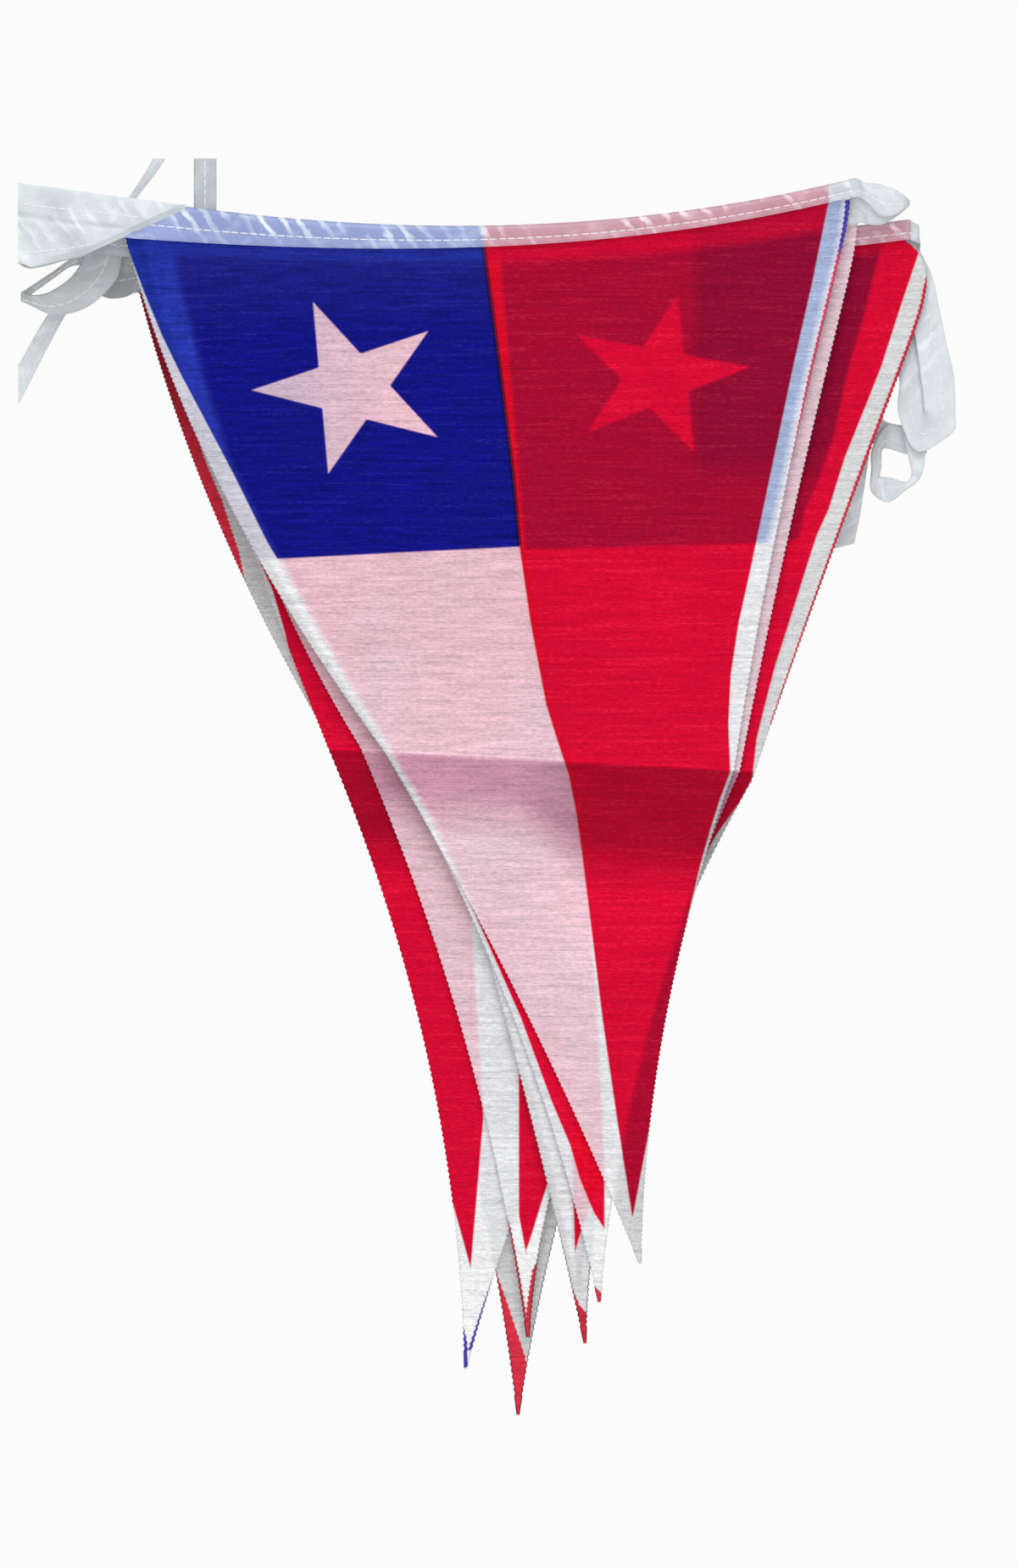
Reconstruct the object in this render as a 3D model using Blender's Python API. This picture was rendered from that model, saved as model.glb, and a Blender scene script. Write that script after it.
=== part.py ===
"""Fabric bunting: seven printed pennants on one folded tape, bunched and hanging.

Metres, +Z up. The front of the bunch faces -Y. The origin is the middle of the
top end of the upright tape, from which the whole bunch hangs. The tables give
millimetres: x to the right, z up from that origin, and depth, which runs back
from the plane of the front pennant.
"""
import math
from typing import NamedTuple

import bmesh
import bpy
from mathutils import Vector

MM = 0.001

# Pennants
CLOTH_THICKNESS = 1.0
CLOTH_COLUMNS = 8
CLOTH_ROWS = 26
TIP_WIDTH = 0.9            # the cut point of a pennant
CREASE_AT = 0.5            # share of a pennant's length above the pack's crease
ROW_CROWDING = 0.65        # how much closer the rows lie at the crease and the ends
SAG_SKEW = 0.4             # how far the lowest point of the top edge lies to the right
SAG_FADE = 5               # how fast the sag of the top edge fades downwards
EAR_REACH = 0.022          # share of the length over which a corner stands out
CANTON_LENGTH = 0.305      # share of the length that the blue field takes

# The layers of the bunch
LAYER_PITCH = 4.0          # between two pennants where the tape holds them
LOW_PITCH = 1.9            # between two pennants below the crease
PITCH_TOP = -46.0          # height where the layers start to close up
PITCH_LOW = -165.0         # height where they have closed up
HELD_LAYER = 1             # the layer that lies in the plane of the origin

# Tape: a ribbon folded in half over the pennants' top edges
LEAF_THICKNESS = 1.0       # one half of the ribbon
CLEARANCE = 0.3            # between the ribbon and the cloth inside it
FOLD_BEVEL = 0.6           # rounding of the folded edge
LOOSE_THICKNESS = 1.6      # the ribbon where it holds no cloth
LOOSE_SLOT = 0.4
SPAN_STEPS = 14
LOOP_STEPS = 2
SPAN_END = 1.0             # how far the tape grips past a pennant's corner
TAPE_FLARE = 3             # how fast the tape narrows from the left corner
UPRIGHT_WIDTH = 6.4        # the length from which the bunch hangs
SLANT_DEPTH = 26.0         # of the second length of ribbon, behind all layers

# Crease of the folded pack, right across the bunch, and soft waves below it
CREASE_HEIGHT = -165.0     # at x = 0
CREASE_SLOPE = -0.052
CREASE_RIDGE = 3.2
CREASE_REACH = 13.0
CREASE_ROUND = 1.6
WAVE_HEIGHT = 1.2
WAVE_LENGTH = 118.0
WAVE_TOP = -60.0           # height where the waves begin
WAVE_FULL = -120.0


class Pennant(NamedTuple):
    """One pennant. Its top corners are where its edges leave the tape."""
    left: tuple            # top left corner, x and z
    right: tuple           # top right corner
    sag: float             # drop of the top edge at its middle
    crease_left: tuple     # the left edge at the crease
    crease_right: tuple
    tip: tuple
    bow_left: tuple        # sideways bow of the left edge above and below the crease
    bow_right: tuple
    ear: float             # how far the right corner stands out past the tape
    tape: tuple            # height of the tape at the left and the right corner


class Section(NamedTuple):
    """One section of the ribbon: its folded edge, its open edge and its depth."""
    fold: tuple            # x and z
    foot: tuple
    depth: float
    gripping: float = 0.0  # 1 where the ribbon holds cloth, 0 where it is loose


# Front to back. Odd rows show the face of the print and even rows its back.
PENNANTS = (
    Pennant(left=(-22.5, -22.7), right=(182.0, -11.3), sag=8.2,
            crease_left=(50.2, -167.0), crease_right=(149.3, -172.5),
            tip=(122.7, -311.7), bow_left=(-8.6, 3.4), bow_right=(-2.4, -6.0),
            ear=0.0, tape=(11.6, 5.9)),
    Pennant(left=(-18.4, -26.6), right=(184.0, -15.1), sag=7.0,
            crease_left=(51.7, -167.2), crease_right=(150.9, -172.9),
            tip=(111.2, -322.7), bow_left=(-7.9, 6.5), bow_right=(-1.4, -6.7),
            ear=0.0, tape=(9.5, 6.5)),
    Pennant(left=(1.9, -29.9), right=(197.6, -23.6), sag=5.0,
            crease_left=(62.9, -168.9), crease_right=(154.3, -175.8),
            tip=(107.2, -334.4), bow_left=(-6.0, 2.0), bow_right=(-1.0, -10.8),
            ear=13.4, tape=(8.0, 5.6)),
    Pennant(left=(-6.5, -30.4), right=(193.0, -25.6), sag=6.0,
            crease_left=(55.7, -168.2), crease_right=(152.6, -174.9),
            tip=(105.7, -320.1), bow_left=(-6.2, 5.7), bow_right=(1.5, -8.4),
            ear=0.0, tape=(8.0, 6.7)),
    Pennant(left=(-2.4, -33.2), right=(190.0, -27.0), sag=6.0,
            crease_left=(43.5, -166.0), crease_right=(150.7, -173.9),
            tip=(91.1, -333.4), bow_left=(-9.1, 6.2), bow_right=(0.0, -12.0),
            ear=0.0, tape=(8.0, 6.7)),
    Pennant(left=(-16.7, -27.0), right=(188.5, -26.1), sag=6.0,
            crease_left=(34.2, -165.8), crease_right=(149.7, -174.1),
            tip=(73.4, -342.1), bow_left=(-1.2, 8.9), bow_right=(0.0, -7.9),
            ear=0.0, tape=(8.0, 6.7)),
    Pennant(left=(-19.6, -36.8), right=(184.2, -34.2), sag=6.0,
            crease_left=(37.3, -168.2), crease_right=(147.8, -173.9),
            tip=(88.3, -355.2), bow_left=(-5.7, 7.2), bow_right=(0.0, -8.1),
            ear=0.0, tape=(10.8, 7.2)),
)

# The ribbon between the pennants, in its order along the string. It runs out at
# the left of layer 1, and turns from each layer to the next at alternate sides.
LEFT_END = (
    Section((-52.6, -7.4), (-52.6, -16.7), -0.5),
    Section((-41.0, -8.9), (-41.0, -18.4), -0.5),
    Section((-29.2, -10.8), (-29.2, -20.6), -0.3),
)
TURN_1_2 = (
    Section((186.6, -6.5), (186.6, -11.2), 0.0),
    Section((191.5, -7.9), (191.5, -11.0), 0.1),
    Section((195.4, -9.6), (195.6, -11.9), 0.3),
    Section((197.3, -10.8), (197.8, -13.2), 2.2),
    Section((195.4, -11.2), (195.4, -16.8), 4.0),
    Section((190.5, -10.0), (190.5, -17.5), 4.1),
)
TURN_2_3 = (
    Section((-22.5, -15.5), (-22.5, -23.2), 3.9),
    Section((-29.2, -15.1), (-29.2, -25.1), 3.9),
    Section((-34.4, -15.8), (-34.4, -27.7), 3.9),
    Section((-40.0, -16.3), (-40.0, -28.9), 3.9),
    Section((-46.0, -16.6), (-46.0, -30.5), 3.9),
    Section((-50.4, -16.8), (-50.4, -30.9), 4.0),
    Section((-52.4, -17.0), (-52.4, -29.2), 6.0),
    Section((-50.4, -17.3), (-50.4, -27.9), 8.0),
    Section((-46.0, -17.9), (-46.0, -27.2), 8.0),
    Section((-34.4, -18.4), (-34.4, -26.6), 8.0),
    Section((-22.0, -19.9), (-22.0, -27.5), 8.0),
    Section((-10.0, -20.3), (-10.0, -28.5), 8.0),
)
TURN_3_4 = (
    Section((199.8, -18.2), (199.8, -23.7), 8.1),
    Section((201.2, -18.9), (201.6, -24.3), 9.6),
    Section((198.6, -19.8), (201.9, -25.4), 11.1),
    Section((196.6, -22.6), (203.2, -27.8), 11.3),
    Section((197.1, -29.4), (205.2, -31.8), 11.2),
    Section((199.0, -41.4), (207.6, -41.9), 11.2),
    Section((200.9, -52.1), (209.5, -51.4), 11.2),
    Section((202.4, -62.9), (211.7, -62.0), 11.2),
    Section((203.0, -69.0), (211.5, -74.9), 11.5),
    Section((203.2, -70.8), (207.6, -79.9), 12.3),
    Section((203.2, -70.4), (201.4, -81.1), 13.1),
    Section((203.6, -67.3), (196.6, -73.0), 13.7),
    Section((204.5, -58.1), (196.4, -61.7), 13.7),
    Section((203.8, -46.2), (195.7, -48.6), 13.7),
    Section((201.4, -31.8), (193.8, -35.2), 13.7),
    Section((196.9, -20.5), (195.4, -27.0), 13.0),
)
TURN_4_5 = (
    Section((-12.4, -23.2), (-12.4, -30.4), 12.0),
    Section((-24.4, -20.8), (-21.5, -28.0), 12.0),
    Section((-33.0, -25.1), (-23.7, -27.5), 12.0),
    Section((-35.6, -29.4), (-25.1, -33.0), 12.0),
    Section((-38.3, -33.0), (-29.2, -38.0), 12.0),
    Section((-42.1, -35.9), (-34.9, -42.1), 12.0),
    Section((-46.4, -37.8), (-43.6, -43.6), 12.0),
    Section((-50.1, -37.9), (-49.7, -41.0), 12.1),
    Section((-52.1, -37.1), (-52.1, -39.5), 14.0),
    Section((-50.4, -35.7), (-50.2, -38.0), 15.9),
    Section((-43.5, -31.1), (-43.1, -32.9), 16.0),
    Section((-38.8, -27.7), (-38.3, -29.7), 16.0),
    Section((-31.1, -23.7), (-30.6, -29.9), 16.0),
    Section((-19.6, -25.1), (-19.6, -32.3), 16.0),
)
TURN_5_6 = (
    Section((195.2, -20.8), (194.2, -27.5), 16.0),
    Section((200.4, -29.9), (193.8, -34.7), 16.0),
    Section((203.3, -46.2), (195.2, -48.6), 16.0),
    Section((205.5, -62.9), (196.6, -64.1), 16.0),
    Section((205.2, -74.9), (197.3, -75.3), 16.0),
    Section((204.0, -82.0), (198.8, -83.2), 16.0),
    Section((201.6, -90.7), (199.7, -89.2), 16.1),
    Section((198.1, -93.3), (198.5, -90.7), 16.6),
    Section((192.8, -96.6), (193.8, -89.5), 17.2),
    Section((188.5, -93.5), (191.1, -89.2), 17.7),
    Section((188.5, -87.3), (191.4, -86.8), 18.0),
    Section((189.0, -80.6), (191.8, -81.6), 18.3),
    Section((192.3, -75.1), (193.3, -81.3), 18.9),
    Section((197.6, -74.9), (198.8, -82.8), 19.2),
    Section((202.3, -75.4), (202.8, -82.5), 19.5),
    Section((203.5, -75.6), (204.0, -82.5), 20.8),
    Section((202.2, -75.3), (202.4, -82.4), 22.0),
    Section((198.0, -74.6), (197.2, -81.6), 22.0),
    Section((192.8, -73.4), (189.4, -79.7), 22.0),
    Section((190.4, -67.7), (183.2, -70.1), 22.0),
    Section((192.3, -46.2), (184.7, -47.4), 21.6),
    Section((194.2, -29.4), (188.9, -34.2), 20.8),
    Section((193.0, -20.8), (192.0, -27.0), 20.2),
)
TURN_6_7 = (
    Section((-22.0, -18.4), (-22.0, -25.8), 20.0),
    Section((-29.9, -19.9), (-29.9, -27.6), 20.1),
    Section((-31.8, -22.2), (-31.8, -30.9), 22.0),
    Section((-29.9, -25.4), (-29.9, -36.2), 23.9),
    Section((-23.0, -26.1), (-23.0, -37.3), 24.0),
)
RIGHT_END = (
    Section((187.4, -27.5), (186.4, -34.2), 24.0),
    Section((191.8, -35.6), (184.7, -39.0), 24.0),
    Section((191.8, -55.7), (183.2, -56.9), 24.0),
    Section((189.4, -74.9), (181.1, -74.9), 24.0),
    Section((187.1, -90.4), (178.9, -89.2), 24.0),
    Section((185.6, -100.0), (177.5, -99.0), 24.0),
    Section((183.9, -108.1), (178.0, -109.6), 24.0),
)
TURNS = (TURN_1_2, TURN_2_3, TURN_3_4, TURN_4_5, TURN_5_6, TURN_6_7)

# A second length of the same ribbon, drawn slanting behind the bunch.
SLANTING_TAPE = (
    Section((-13.9, 0.0), (-11.0, 0.0), SLANT_DEPTH),
    Section((-21.3, -11.0), (-18.7, -11.0), SLANT_DEPTH),
    Section((-33.0, -26.1), (-29.2, -27.0), SLANT_DEPTH),
    Section((-44.0, -42.8), (-39.2, -44.3), SLANT_DEPTH),
    Section((-52.6, -57.4), (-52.6, -69.1), SLANT_DEPTH),
)

# Colour, roughness
BLUE = ((0.010, 0.022, 0.260), 0.6)
RED = ((0.560, 0.012, 0.035), 0.6)
WHITE = ((0.780, 0.780, 0.790), 0.65)
RIBBON = ((0.720, 0.760, 0.760), 0.35)


def clear_scene():
    for thing in list(bpy.data.objects):
        bpy.data.objects.remove(thing, do_unlink=True)


def make_material(name, colour, roughness):
    material = bpy.data.materials.new(name)
    material.use_nodes = True
    shader = material.node_tree.nodes["Principled BSDF"]
    shader.inputs["Base Color"].default_value = (*colour, 1.0)
    shader.inputs["Roughness"].default_value = roughness
    shader.inputs["Metallic"].default_value = 0.0
    return material


def mix(a, b, share):
    """The point or number that lies a share of the way from a to b."""
    if isinstance(a, tuple):
        return tuple(mix(p, q, share) for p, q in zip(a, b))
    return a + (b - a) * share


def ease(low, high, value):
    """0 at low, 1 at high, with a smooth start and end."""
    share = min(max((value - low) / (high - low), 0.0), 1.0)
    return share * share * (3.0 - 2.0 * share)


def arch(share, skew=0.0):
    """0 at both ends and 1 in the middle, or lopsided to the right by a skew."""
    return 4.0 * share * (1.0 - share) * (1.0 + skew * (share - 0.5))


def layer_depth(layer, z):
    """Depth of a layer's cloth, which closes up on the held layer lower down."""
    pitch = mix(LAYER_PITCH, LOW_PITCH, ease(PITCH_TOP, PITCH_LOW, z))
    return HELD_LAYER * LAYER_PITCH + (layer - HELD_LAYER) * pitch


def relief(x, z):
    """How far back the crease and the waves push every layer at x and z."""
    below = z - CREASE_HEIGHT - CREASE_SLOPE * x
    ridge = math.exp(-(math.hypot(below, CREASE_ROUND) - CREASE_ROUND) / CREASE_REACH)
    wave = math.sin(2.0 * math.pi * (x - 0.35 * z) / WAVE_LENGTH)
    return WAVE_HEIGHT * wave * ease(WAVE_TOP, WAVE_FULL, z) - CREASE_RIDGE * ridge


def place(x, z, depth):
    """World position of a point given in the tables' own directions."""
    back = depth - HELD_LAYER * LAYER_PITCH + relief(x, z)
    return Vector((x, back, z)) * MM


def edge_point(corner, crease, tip, bow, ear, down):
    """A point of a pennant's side edge, down a share of its length."""
    if down < CREASE_AT:
        share = down / CREASE_AT
        x, z = mix(corner, crease, share)
        x += bow[0] * arch(share)
        x += ear * (1.0 - math.exp(-down / EAR_REACH) - share)
    else:
        share = (down - CREASE_AT) / (1.0 - CREASE_AT)
        x, z = mix(crease, tip, share)
        x += bow[1] * arch(share)
    return x, z


def cloth_point(pennant, across, down):
    """x and z of a pennant's point, given by shares of its width and length."""
    left_tip = (pennant.tip[0] - TIP_WIDTH / 2.0, pennant.tip[1])
    right_tip = (pennant.tip[0] + TIP_WIDTH / 2.0, pennant.tip[1])
    left = edge_point(pennant.left, pennant.crease_left, left_tip,
                      pennant.bow_left, 0.0, down)
    right = edge_point(pennant.right, pennant.crease_right, right_tip,
                       pennant.bow_right, pennant.ear, down)
    x, z = mix(left, right, across)
    return x, z - pennant.sag * arch(across, SAG_SKEW) * (1.0 - down) ** SAG_FADE


def tape_height(pennant, across):
    left, right = pennant.tape
    return right + (left - right) * max(1.0 - across, 0.0) ** TAPE_FLARE


def row_shares():
    """Shares of the length at which the rows lie, closer at the crease and ends."""
    shares = []
    for row in range(CLOTH_ROWS + 1):
        even = row / CLOTH_ROWS
        turn = 4.0 * math.pi
        shares.append(even - ROW_CROWDING * math.sin(turn * even) / turn)
    return shares


def add_object(name, mesh_builder, materials):
    """Make a named object from a bmesh and give it its materials."""
    mesh = bpy.data.meshes.new(name)
    mesh_builder.to_mesh(mesh)
    mesh_builder.free()
    thing = bpy.data.objects.new(name, mesh)
    bpy.context.collection.objects.link(thing)
    for material in materials:
        mesh.materials.append(material)
    mesh.shade_smooth()
    mesh.set_sharp_from_angle(angle=math.radians(35.0))
    return thing


def build_pennant(layer, pennant, materials):
    """A pennant's sheet: blue over white on one half, red on the other."""
    builder = bmesh.new()
    shares = row_shares()
    tucked = LEAF_THICKNESS + CLEARANCE + 0.1
    columns = [column / CLOTH_COLUMNS for column in range(CLOTH_COLUMNS + 1)]
    rows = []
    for number, down in enumerate([0.0] + shares):
        row = []
        for across in columns:
            x, z = cloth_point(pennant, across, down)
            depth = layer_depth(layer, z)
            if number == 0:
                z += tape_height(pennant, across) - tucked
            row.append(builder.verts.new(place(x, z, depth)))
        rows.append(row)
    shows_face = layer % 2 == 0
    for number in range(len(rows) - 1):
        down = 0.0 if number == 0 else (shares[number - 1] + shares[number]) / 2.0
        for column in range(CLOTH_COLUMNS):
            face = builder.faces.new((rows[number][column], rows[number][column + 1],
                                      rows[number + 1][column + 1],
                                      rows[number + 1][column]))
            hoist_half = (column < CLOTH_COLUMNS // 2) == shows_face
            if not hoist_half:
                face.material_index = 2
            elif down > CANTON_LENGTH:
                face.material_index = 1
    thing = add_object(f"pennant_{layer + 1}", builder, materials)
    solid = thing.modifiers.new("thickness", "SOLIDIFY")
    solid.thickness = CLOTH_THICKNESS * MM
    solid.offset = 0.0
    return thing


def span_sections(layer, pennant):
    """Sections of the ribbon over one pennant's top edge, left to right."""
    width = pennant.right[0] - pennant.left[0]
    overhang = SPAN_END / width
    shares = [-overhang]
    shares += [step / SPAN_STEPS for step in range(SPAN_STEPS + 1)]
    shares.append(1.0 + overhang)
    sections = []
    for across in shares:
        x, z = mix(pennant.left, pennant.right, across)
        z -= pennant.sag * arch(across, SAG_SKEW)
        height = tape_height(pennant, across)
        sections.append(Section((x, z + height), (x, z), layer * LAYER_PITCH, 1.0))
    return sections


def string_sections():
    """The whole ribbon, from its left end through all layers to its right end."""
    sections = list(LEFT_END)
    for layer, pennant in enumerate(PENNANTS):
        span = span_sections(layer, pennant)
        if layer % 2 == 1:
            span.reverse()
        sections += span
        if layer < len(TURNS):
            sections += TURNS[layer]
    return sections + list(RIGHT_END)


def section_values(section):
    return (*section.fold, *section.foot, section.depth, section.gripping)


def smooth_sections(sections):
    """Sections read off a smooth curve through the given ones."""
    values = [section_values(section) for section in sections]
    gaps = []
    for one, other in zip(values, values[1:]):
        gaps.append(math.dist((one[0] + one[2], one[1] + one[3], 2.0 * one[4]),
                              (other[0] + other[2], other[1] + other[3],
                               2.0 * other[4])) / 2.0)
    slopes = []
    for index, value in enumerate(values):
        before = max(index - 1, 0)
        after = min(index, len(gaps) - 1)
        into = [(q - p) / gaps[before] for p, q in zip(values[before], values[before + 1])]
        out = [(q - p) / gaps[after] for p, q in zip(values[after], values[after + 1])]
        whole = gaps[before] + gaps[after]
        slopes.append([(a * gaps[after] + b * gaps[before]) / whole
                       for a, b in zip(into, out)])
    smooth = []
    for index, gap in enumerate(gaps):
        start, end = values[index], values[index + 1]
        steps = 1 if start[5] == end[5] == 1.0 else LOOP_STEPS
        for step in range(steps):
            share = step / steps
            ease_in = share * share * (3.0 - 2.0 * share)
            leave = share * (1.0 - share) ** 2 * gap
            arrive = -share * share * (1.0 - share) * gap
            smooth.append([p + (q - p) * ease_in + a * leave + b * arrive
                           for p, q, a, b in zip(start, end, slopes[index],
                                                 slopes[index + 1])])
    smooth.append(list(values[-1]))
    return smooth


def ribbon_mesh(sections):
    """A folded ribbon: two leaves joined along the fold, open along the foot."""
    values = smooth_sections(sections)
    folds = [place(v[0], v[1], v[4]) for v in values]
    feet = [place(v[2], v[3], v[4]) for v in values]
    middles = [(fold + foot) / 2.0 for fold, foot in zip(folds, feet)]
    gripping_thickness = CLOTH_THICKNESS + 2.0 * (CLEARANCE + LEAF_THICKNESS)
    gripping_slot = CLOTH_THICKNESS + 2.0 * CLEARANCE
    builder = bmesh.new()
    rings = []
    for index, value in enumerate(values):
        before = middles[max(index - 1, 0)]
        after = middles[min(index + 1, len(middles) - 1)]
        up = folds[index] - feet[index]
        height = up.length
        up.normalize()
        front = (after - before).cross(up).normalized()
        grip = min(max(value[5], 0.0), 1.0)
        half = mix(LOOSE_THICKNESS, gripping_thickness, grip) * MM / 2.0
        slot = mix(LOOSE_SLOT, gripping_slot, grip) * MM / 2.0
        bevel = min(FOLD_BEVEL * MM, 0.4 * height)
        roof = height - min(LEAF_THICKNESS * MM, 0.5 * height)
        profile = ((-half, 0.0), (-half, height - bevel), (-half + bevel, height),
                   (half - bevel, height), (half, height - bevel), (half, 0.0),
                   (slot, 0.0), (slot, roof), (-slot, roof), (-slot, 0.0))
        rings.append([builder.verts.new(feet[index] + front * across + up * high)
                      for across, high in profile])
    for ring, following in zip(rings, rings[1:]):
        for corner in range(len(ring)):
            nearby = (corner + 1) % len(ring)
            builder.faces.new((ring[corner], ring[nearby],
                               following[nearby], following[corner]))
    builder.faces.new(rings[0])
    builder.faces.new(rings[-1])
    bmesh.ops.recalc_face_normals(builder, faces=builder.faces)
    return builder


def build_tape(material):
    """The string's ribbon, with the upright length from which it hangs."""
    tape = add_object("tape", ribbon_mesh(string_sections()), [material])
    held = PENNANTS[HELD_LAYER]
    across = -held.left[0] / (held.right[0] - held.left[0])
    foot = cloth_point(held, across, 0.0)[1] + tape_height(held, across)
    foot -= LEAF_THICKNESS / 2.0
    half = UPRIGHT_WIDTH / 2.0
    depth = HELD_LAYER * LAYER_PITCH
    upright = (Section((-half, 0.0), (half, 0.0), depth),
               Section((-half, foot), (half, foot), depth))
    helper = add_object("upright_tape", ribbon_mesh(upright), [material])
    helper.hide_render = True
    helper.display_type = "WIRE"
    join = tape.modifiers.new("upright length", "BOOLEAN")
    join.operation = "UNION"
    join.object = helper
    return tape


def main():
    clear_scene()
    colours = [make_material("blue cloth", *BLUE), make_material("white cloth", *WHITE),
               make_material("red cloth", *RED)]
    ribbon = make_material("satin ribbon", *RIBBON)
    for layer, pennant in enumerate(PENNANTS):
        build_pennant(layer, pennant, colours)
    build_tape(ribbon)
    add_object("slanting_tape", ribbon_mesh(SLANTING_TAPE), [ribbon])


main()
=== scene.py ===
"""Fabric bunting: the look of its printed cloth, satin ribbon and stitches.

Laid out as a Blender add-on and run as a script. Metres, +Z up, in the CAD
model's own frame. The tables give millimetres: x to the right, z up from the
top end of the upright ribbon, and depth, which runs back from the front pennant.
"""

import math
from typing import NamedTuple

import bmesh
import bpy
import numpy as np
from bpy.props import (FloatProperty, FloatVectorProperty, IntProperty,
                       PointerProperty)
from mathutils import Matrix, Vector


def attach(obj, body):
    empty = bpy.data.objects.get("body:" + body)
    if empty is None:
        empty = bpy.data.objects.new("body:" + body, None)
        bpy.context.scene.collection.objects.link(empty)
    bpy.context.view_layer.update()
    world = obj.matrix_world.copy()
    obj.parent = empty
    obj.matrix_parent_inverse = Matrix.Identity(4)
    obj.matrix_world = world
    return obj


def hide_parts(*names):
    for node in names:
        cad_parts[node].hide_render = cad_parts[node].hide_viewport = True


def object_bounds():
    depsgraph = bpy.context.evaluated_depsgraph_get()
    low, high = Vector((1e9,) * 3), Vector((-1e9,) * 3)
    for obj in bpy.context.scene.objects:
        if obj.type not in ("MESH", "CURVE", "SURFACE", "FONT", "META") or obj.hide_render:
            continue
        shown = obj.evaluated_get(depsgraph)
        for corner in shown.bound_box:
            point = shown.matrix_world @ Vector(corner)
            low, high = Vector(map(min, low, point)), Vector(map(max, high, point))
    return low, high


bl_info = {
    "name": "Fabric Bunting",
    "version": (1, 0, 0),
    "blender": (4, 5, 0),
    "location": "3D View > Sidebar > Bunting",
    "description": "Adds a bunch of printed pennants on a folded ribbon",
    "category": "Add Mesh",
}

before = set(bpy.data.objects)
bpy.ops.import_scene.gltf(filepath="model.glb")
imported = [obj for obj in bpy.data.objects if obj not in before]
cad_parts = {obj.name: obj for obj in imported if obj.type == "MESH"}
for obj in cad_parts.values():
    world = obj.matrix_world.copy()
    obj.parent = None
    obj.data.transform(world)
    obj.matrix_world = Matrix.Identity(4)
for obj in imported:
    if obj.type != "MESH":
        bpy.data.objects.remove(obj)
CAD_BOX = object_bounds()
MM = 0.001

# How the pennants lie, as in the part
TIP_WIDTH = 0.9
CREASE_AT = 0.5
SAG_SKEW = 0.4
SAG_FADE = 5
EAR_REACH = 0.022
LAYER_PITCH = 4.0
LOW_PITCH = 1.9
PITCH_TOP = -46.0
PITCH_LOW = -165.0
HELD_LAYER = 1
CREASE_HEIGHT = -165.0
CREASE_SLOPE = -0.052
CREASE_RIDGE = 3.2
CREASE_REACH = 13.0
CREASE_ROUND = 0.6
WAVE_HEIGHT = 1.2
WAVE_LENGTH = 118.0
WAVE_LEAN = 0.35
WAVE_TOP = -60.0
WAVE_FULL = -120.0
RIPPLE_HEIGHT = 0.30       # slanting ripples where the cloth gives below the crease
RIPPLE_LENGTH = 19.0
RIPPLE_LEAN = (0.62, 1.1)
RIPPLE_DROP = 17.0         # from the crease to their middle, and how far they spread
RIPPLE_SPREAD = 11.0
RIPPLE_START = (60.0, 110.0)
TUCKED = 1.4               # from the ribbon's fold to the cloth's top inside it
TUCKED_ROWS = 8
CORNER_SLANT = 17.0        # how far the front pennant's top left corner is cut back
EVEN_MARGIN = 3.6          # from the cut edge to the print where none is listed
SMOOTH_TIP_ROWS = 6        # rows without teeth at the tip

# The ribbon, as in the part
TAPE_FLARE = 3
SPAN_END = 1.0
SPAN_STEPS = 64
LOOSE_STEPS = 8
UPRIGHT_WIDTH = 6.4
SLANT_DEPTH = 26.0
LEAF_OFF_CLOTH = 1.25      # from the cloth to the middle of a leaf over it
LEAF_OFF_LEAF = 0.5        # half the distance of two leaves with no cloth between
FOLD_ROUND = 0.35          # the fold's radius, at most this share of the height
STITCH_SHARE = 0.43        # where the stitches run, up the ribbon's height
PUCKER_DEPTH = 0.26        # how far the stitches pull the leaves in
PUCKER_REACH = 0.09
PUCKER_PITCH = 7.3
STITCHED_IN = 0.22         # of the leaves' distance, at the stitches
NO_CLOTH = -9.0            # for how far inside its cloth's print a loose place lies
LEAF_SHARES = (0.0, 0.2, 0.34, STITCH_SHARE, 0.52, 0.66, 0.82, 1.0)
OPENED_DEPTH = -6.0
OPENED_LEAN = 2.4          # how far back the opened ribbon's lower half leans
FURROW_DEPTH = 0.75
FURROW_WIDTH = 0.7
HEM_LINE = 1.9             # from the opened ribbon's lower edge to its hem's ridge

# Rings along one stitch: share of its length, thickness, and rise off the ribbon
STITCH_RINGS = ((0.0, 0.3, -0.5), (0.1, 0.9, 0.1), (0.5, 1.0, 0.2),
                (0.9, 0.9, 0.1), (1.0, 0.3, -0.5))
STITCH_LENGTH = 0.93       # a stitch's share of the stitches' pitch
STITCH_SIDES = 6


class Pennant(NamedTuple):
    """How one pennant lies. Its top corners are where its edges leave the ribbon."""
    left: tuple
    right: tuple
    sag: float                 # of its top edge, between the corners
    crease_left: tuple
    crease_right: tuple
    tip: tuple
    bow_left: tuple            # of the left edge to the right, above and below the crease
    bow_right: tuple
    ear: float                 # how far the right edge swings out just below its corner
    tape: tuple                # the ribbon's height over it at the left and at the right


class Print(NamedTuple):
    """Where the print lies on one pennant. Lines are points x and z, downwards."""
    seam: tuple                # between the print's hoist half and its red half
    star: tuple                # its centre's x and z, then what carries it to radius 1
    left: tuple = ()           # the print's left edge, or nothing for an even margin
    right: tuple = ()
    canton: tuple = (-112.5, 0.03)   # the blue field's foot: height at x = 0, slope
    # Painted shade: the undyed cloth's lightness left and right of the seam, and with
    # nothing behind it
    white: tuple = (0.95, 0.85, 0.85)
    body: float = 0.90         # how much the undyed cloth hides of what lies behind
    lit: float = 1.0           # painted light: how much lighter its dyes are painted, for light from behind
    run_left: tuple = ()       # dye along the left cut edge: height and width
    run_right: tuple = ()
    blue_above: float = 10.0   # above this height the right edge's dye is blue


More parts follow.
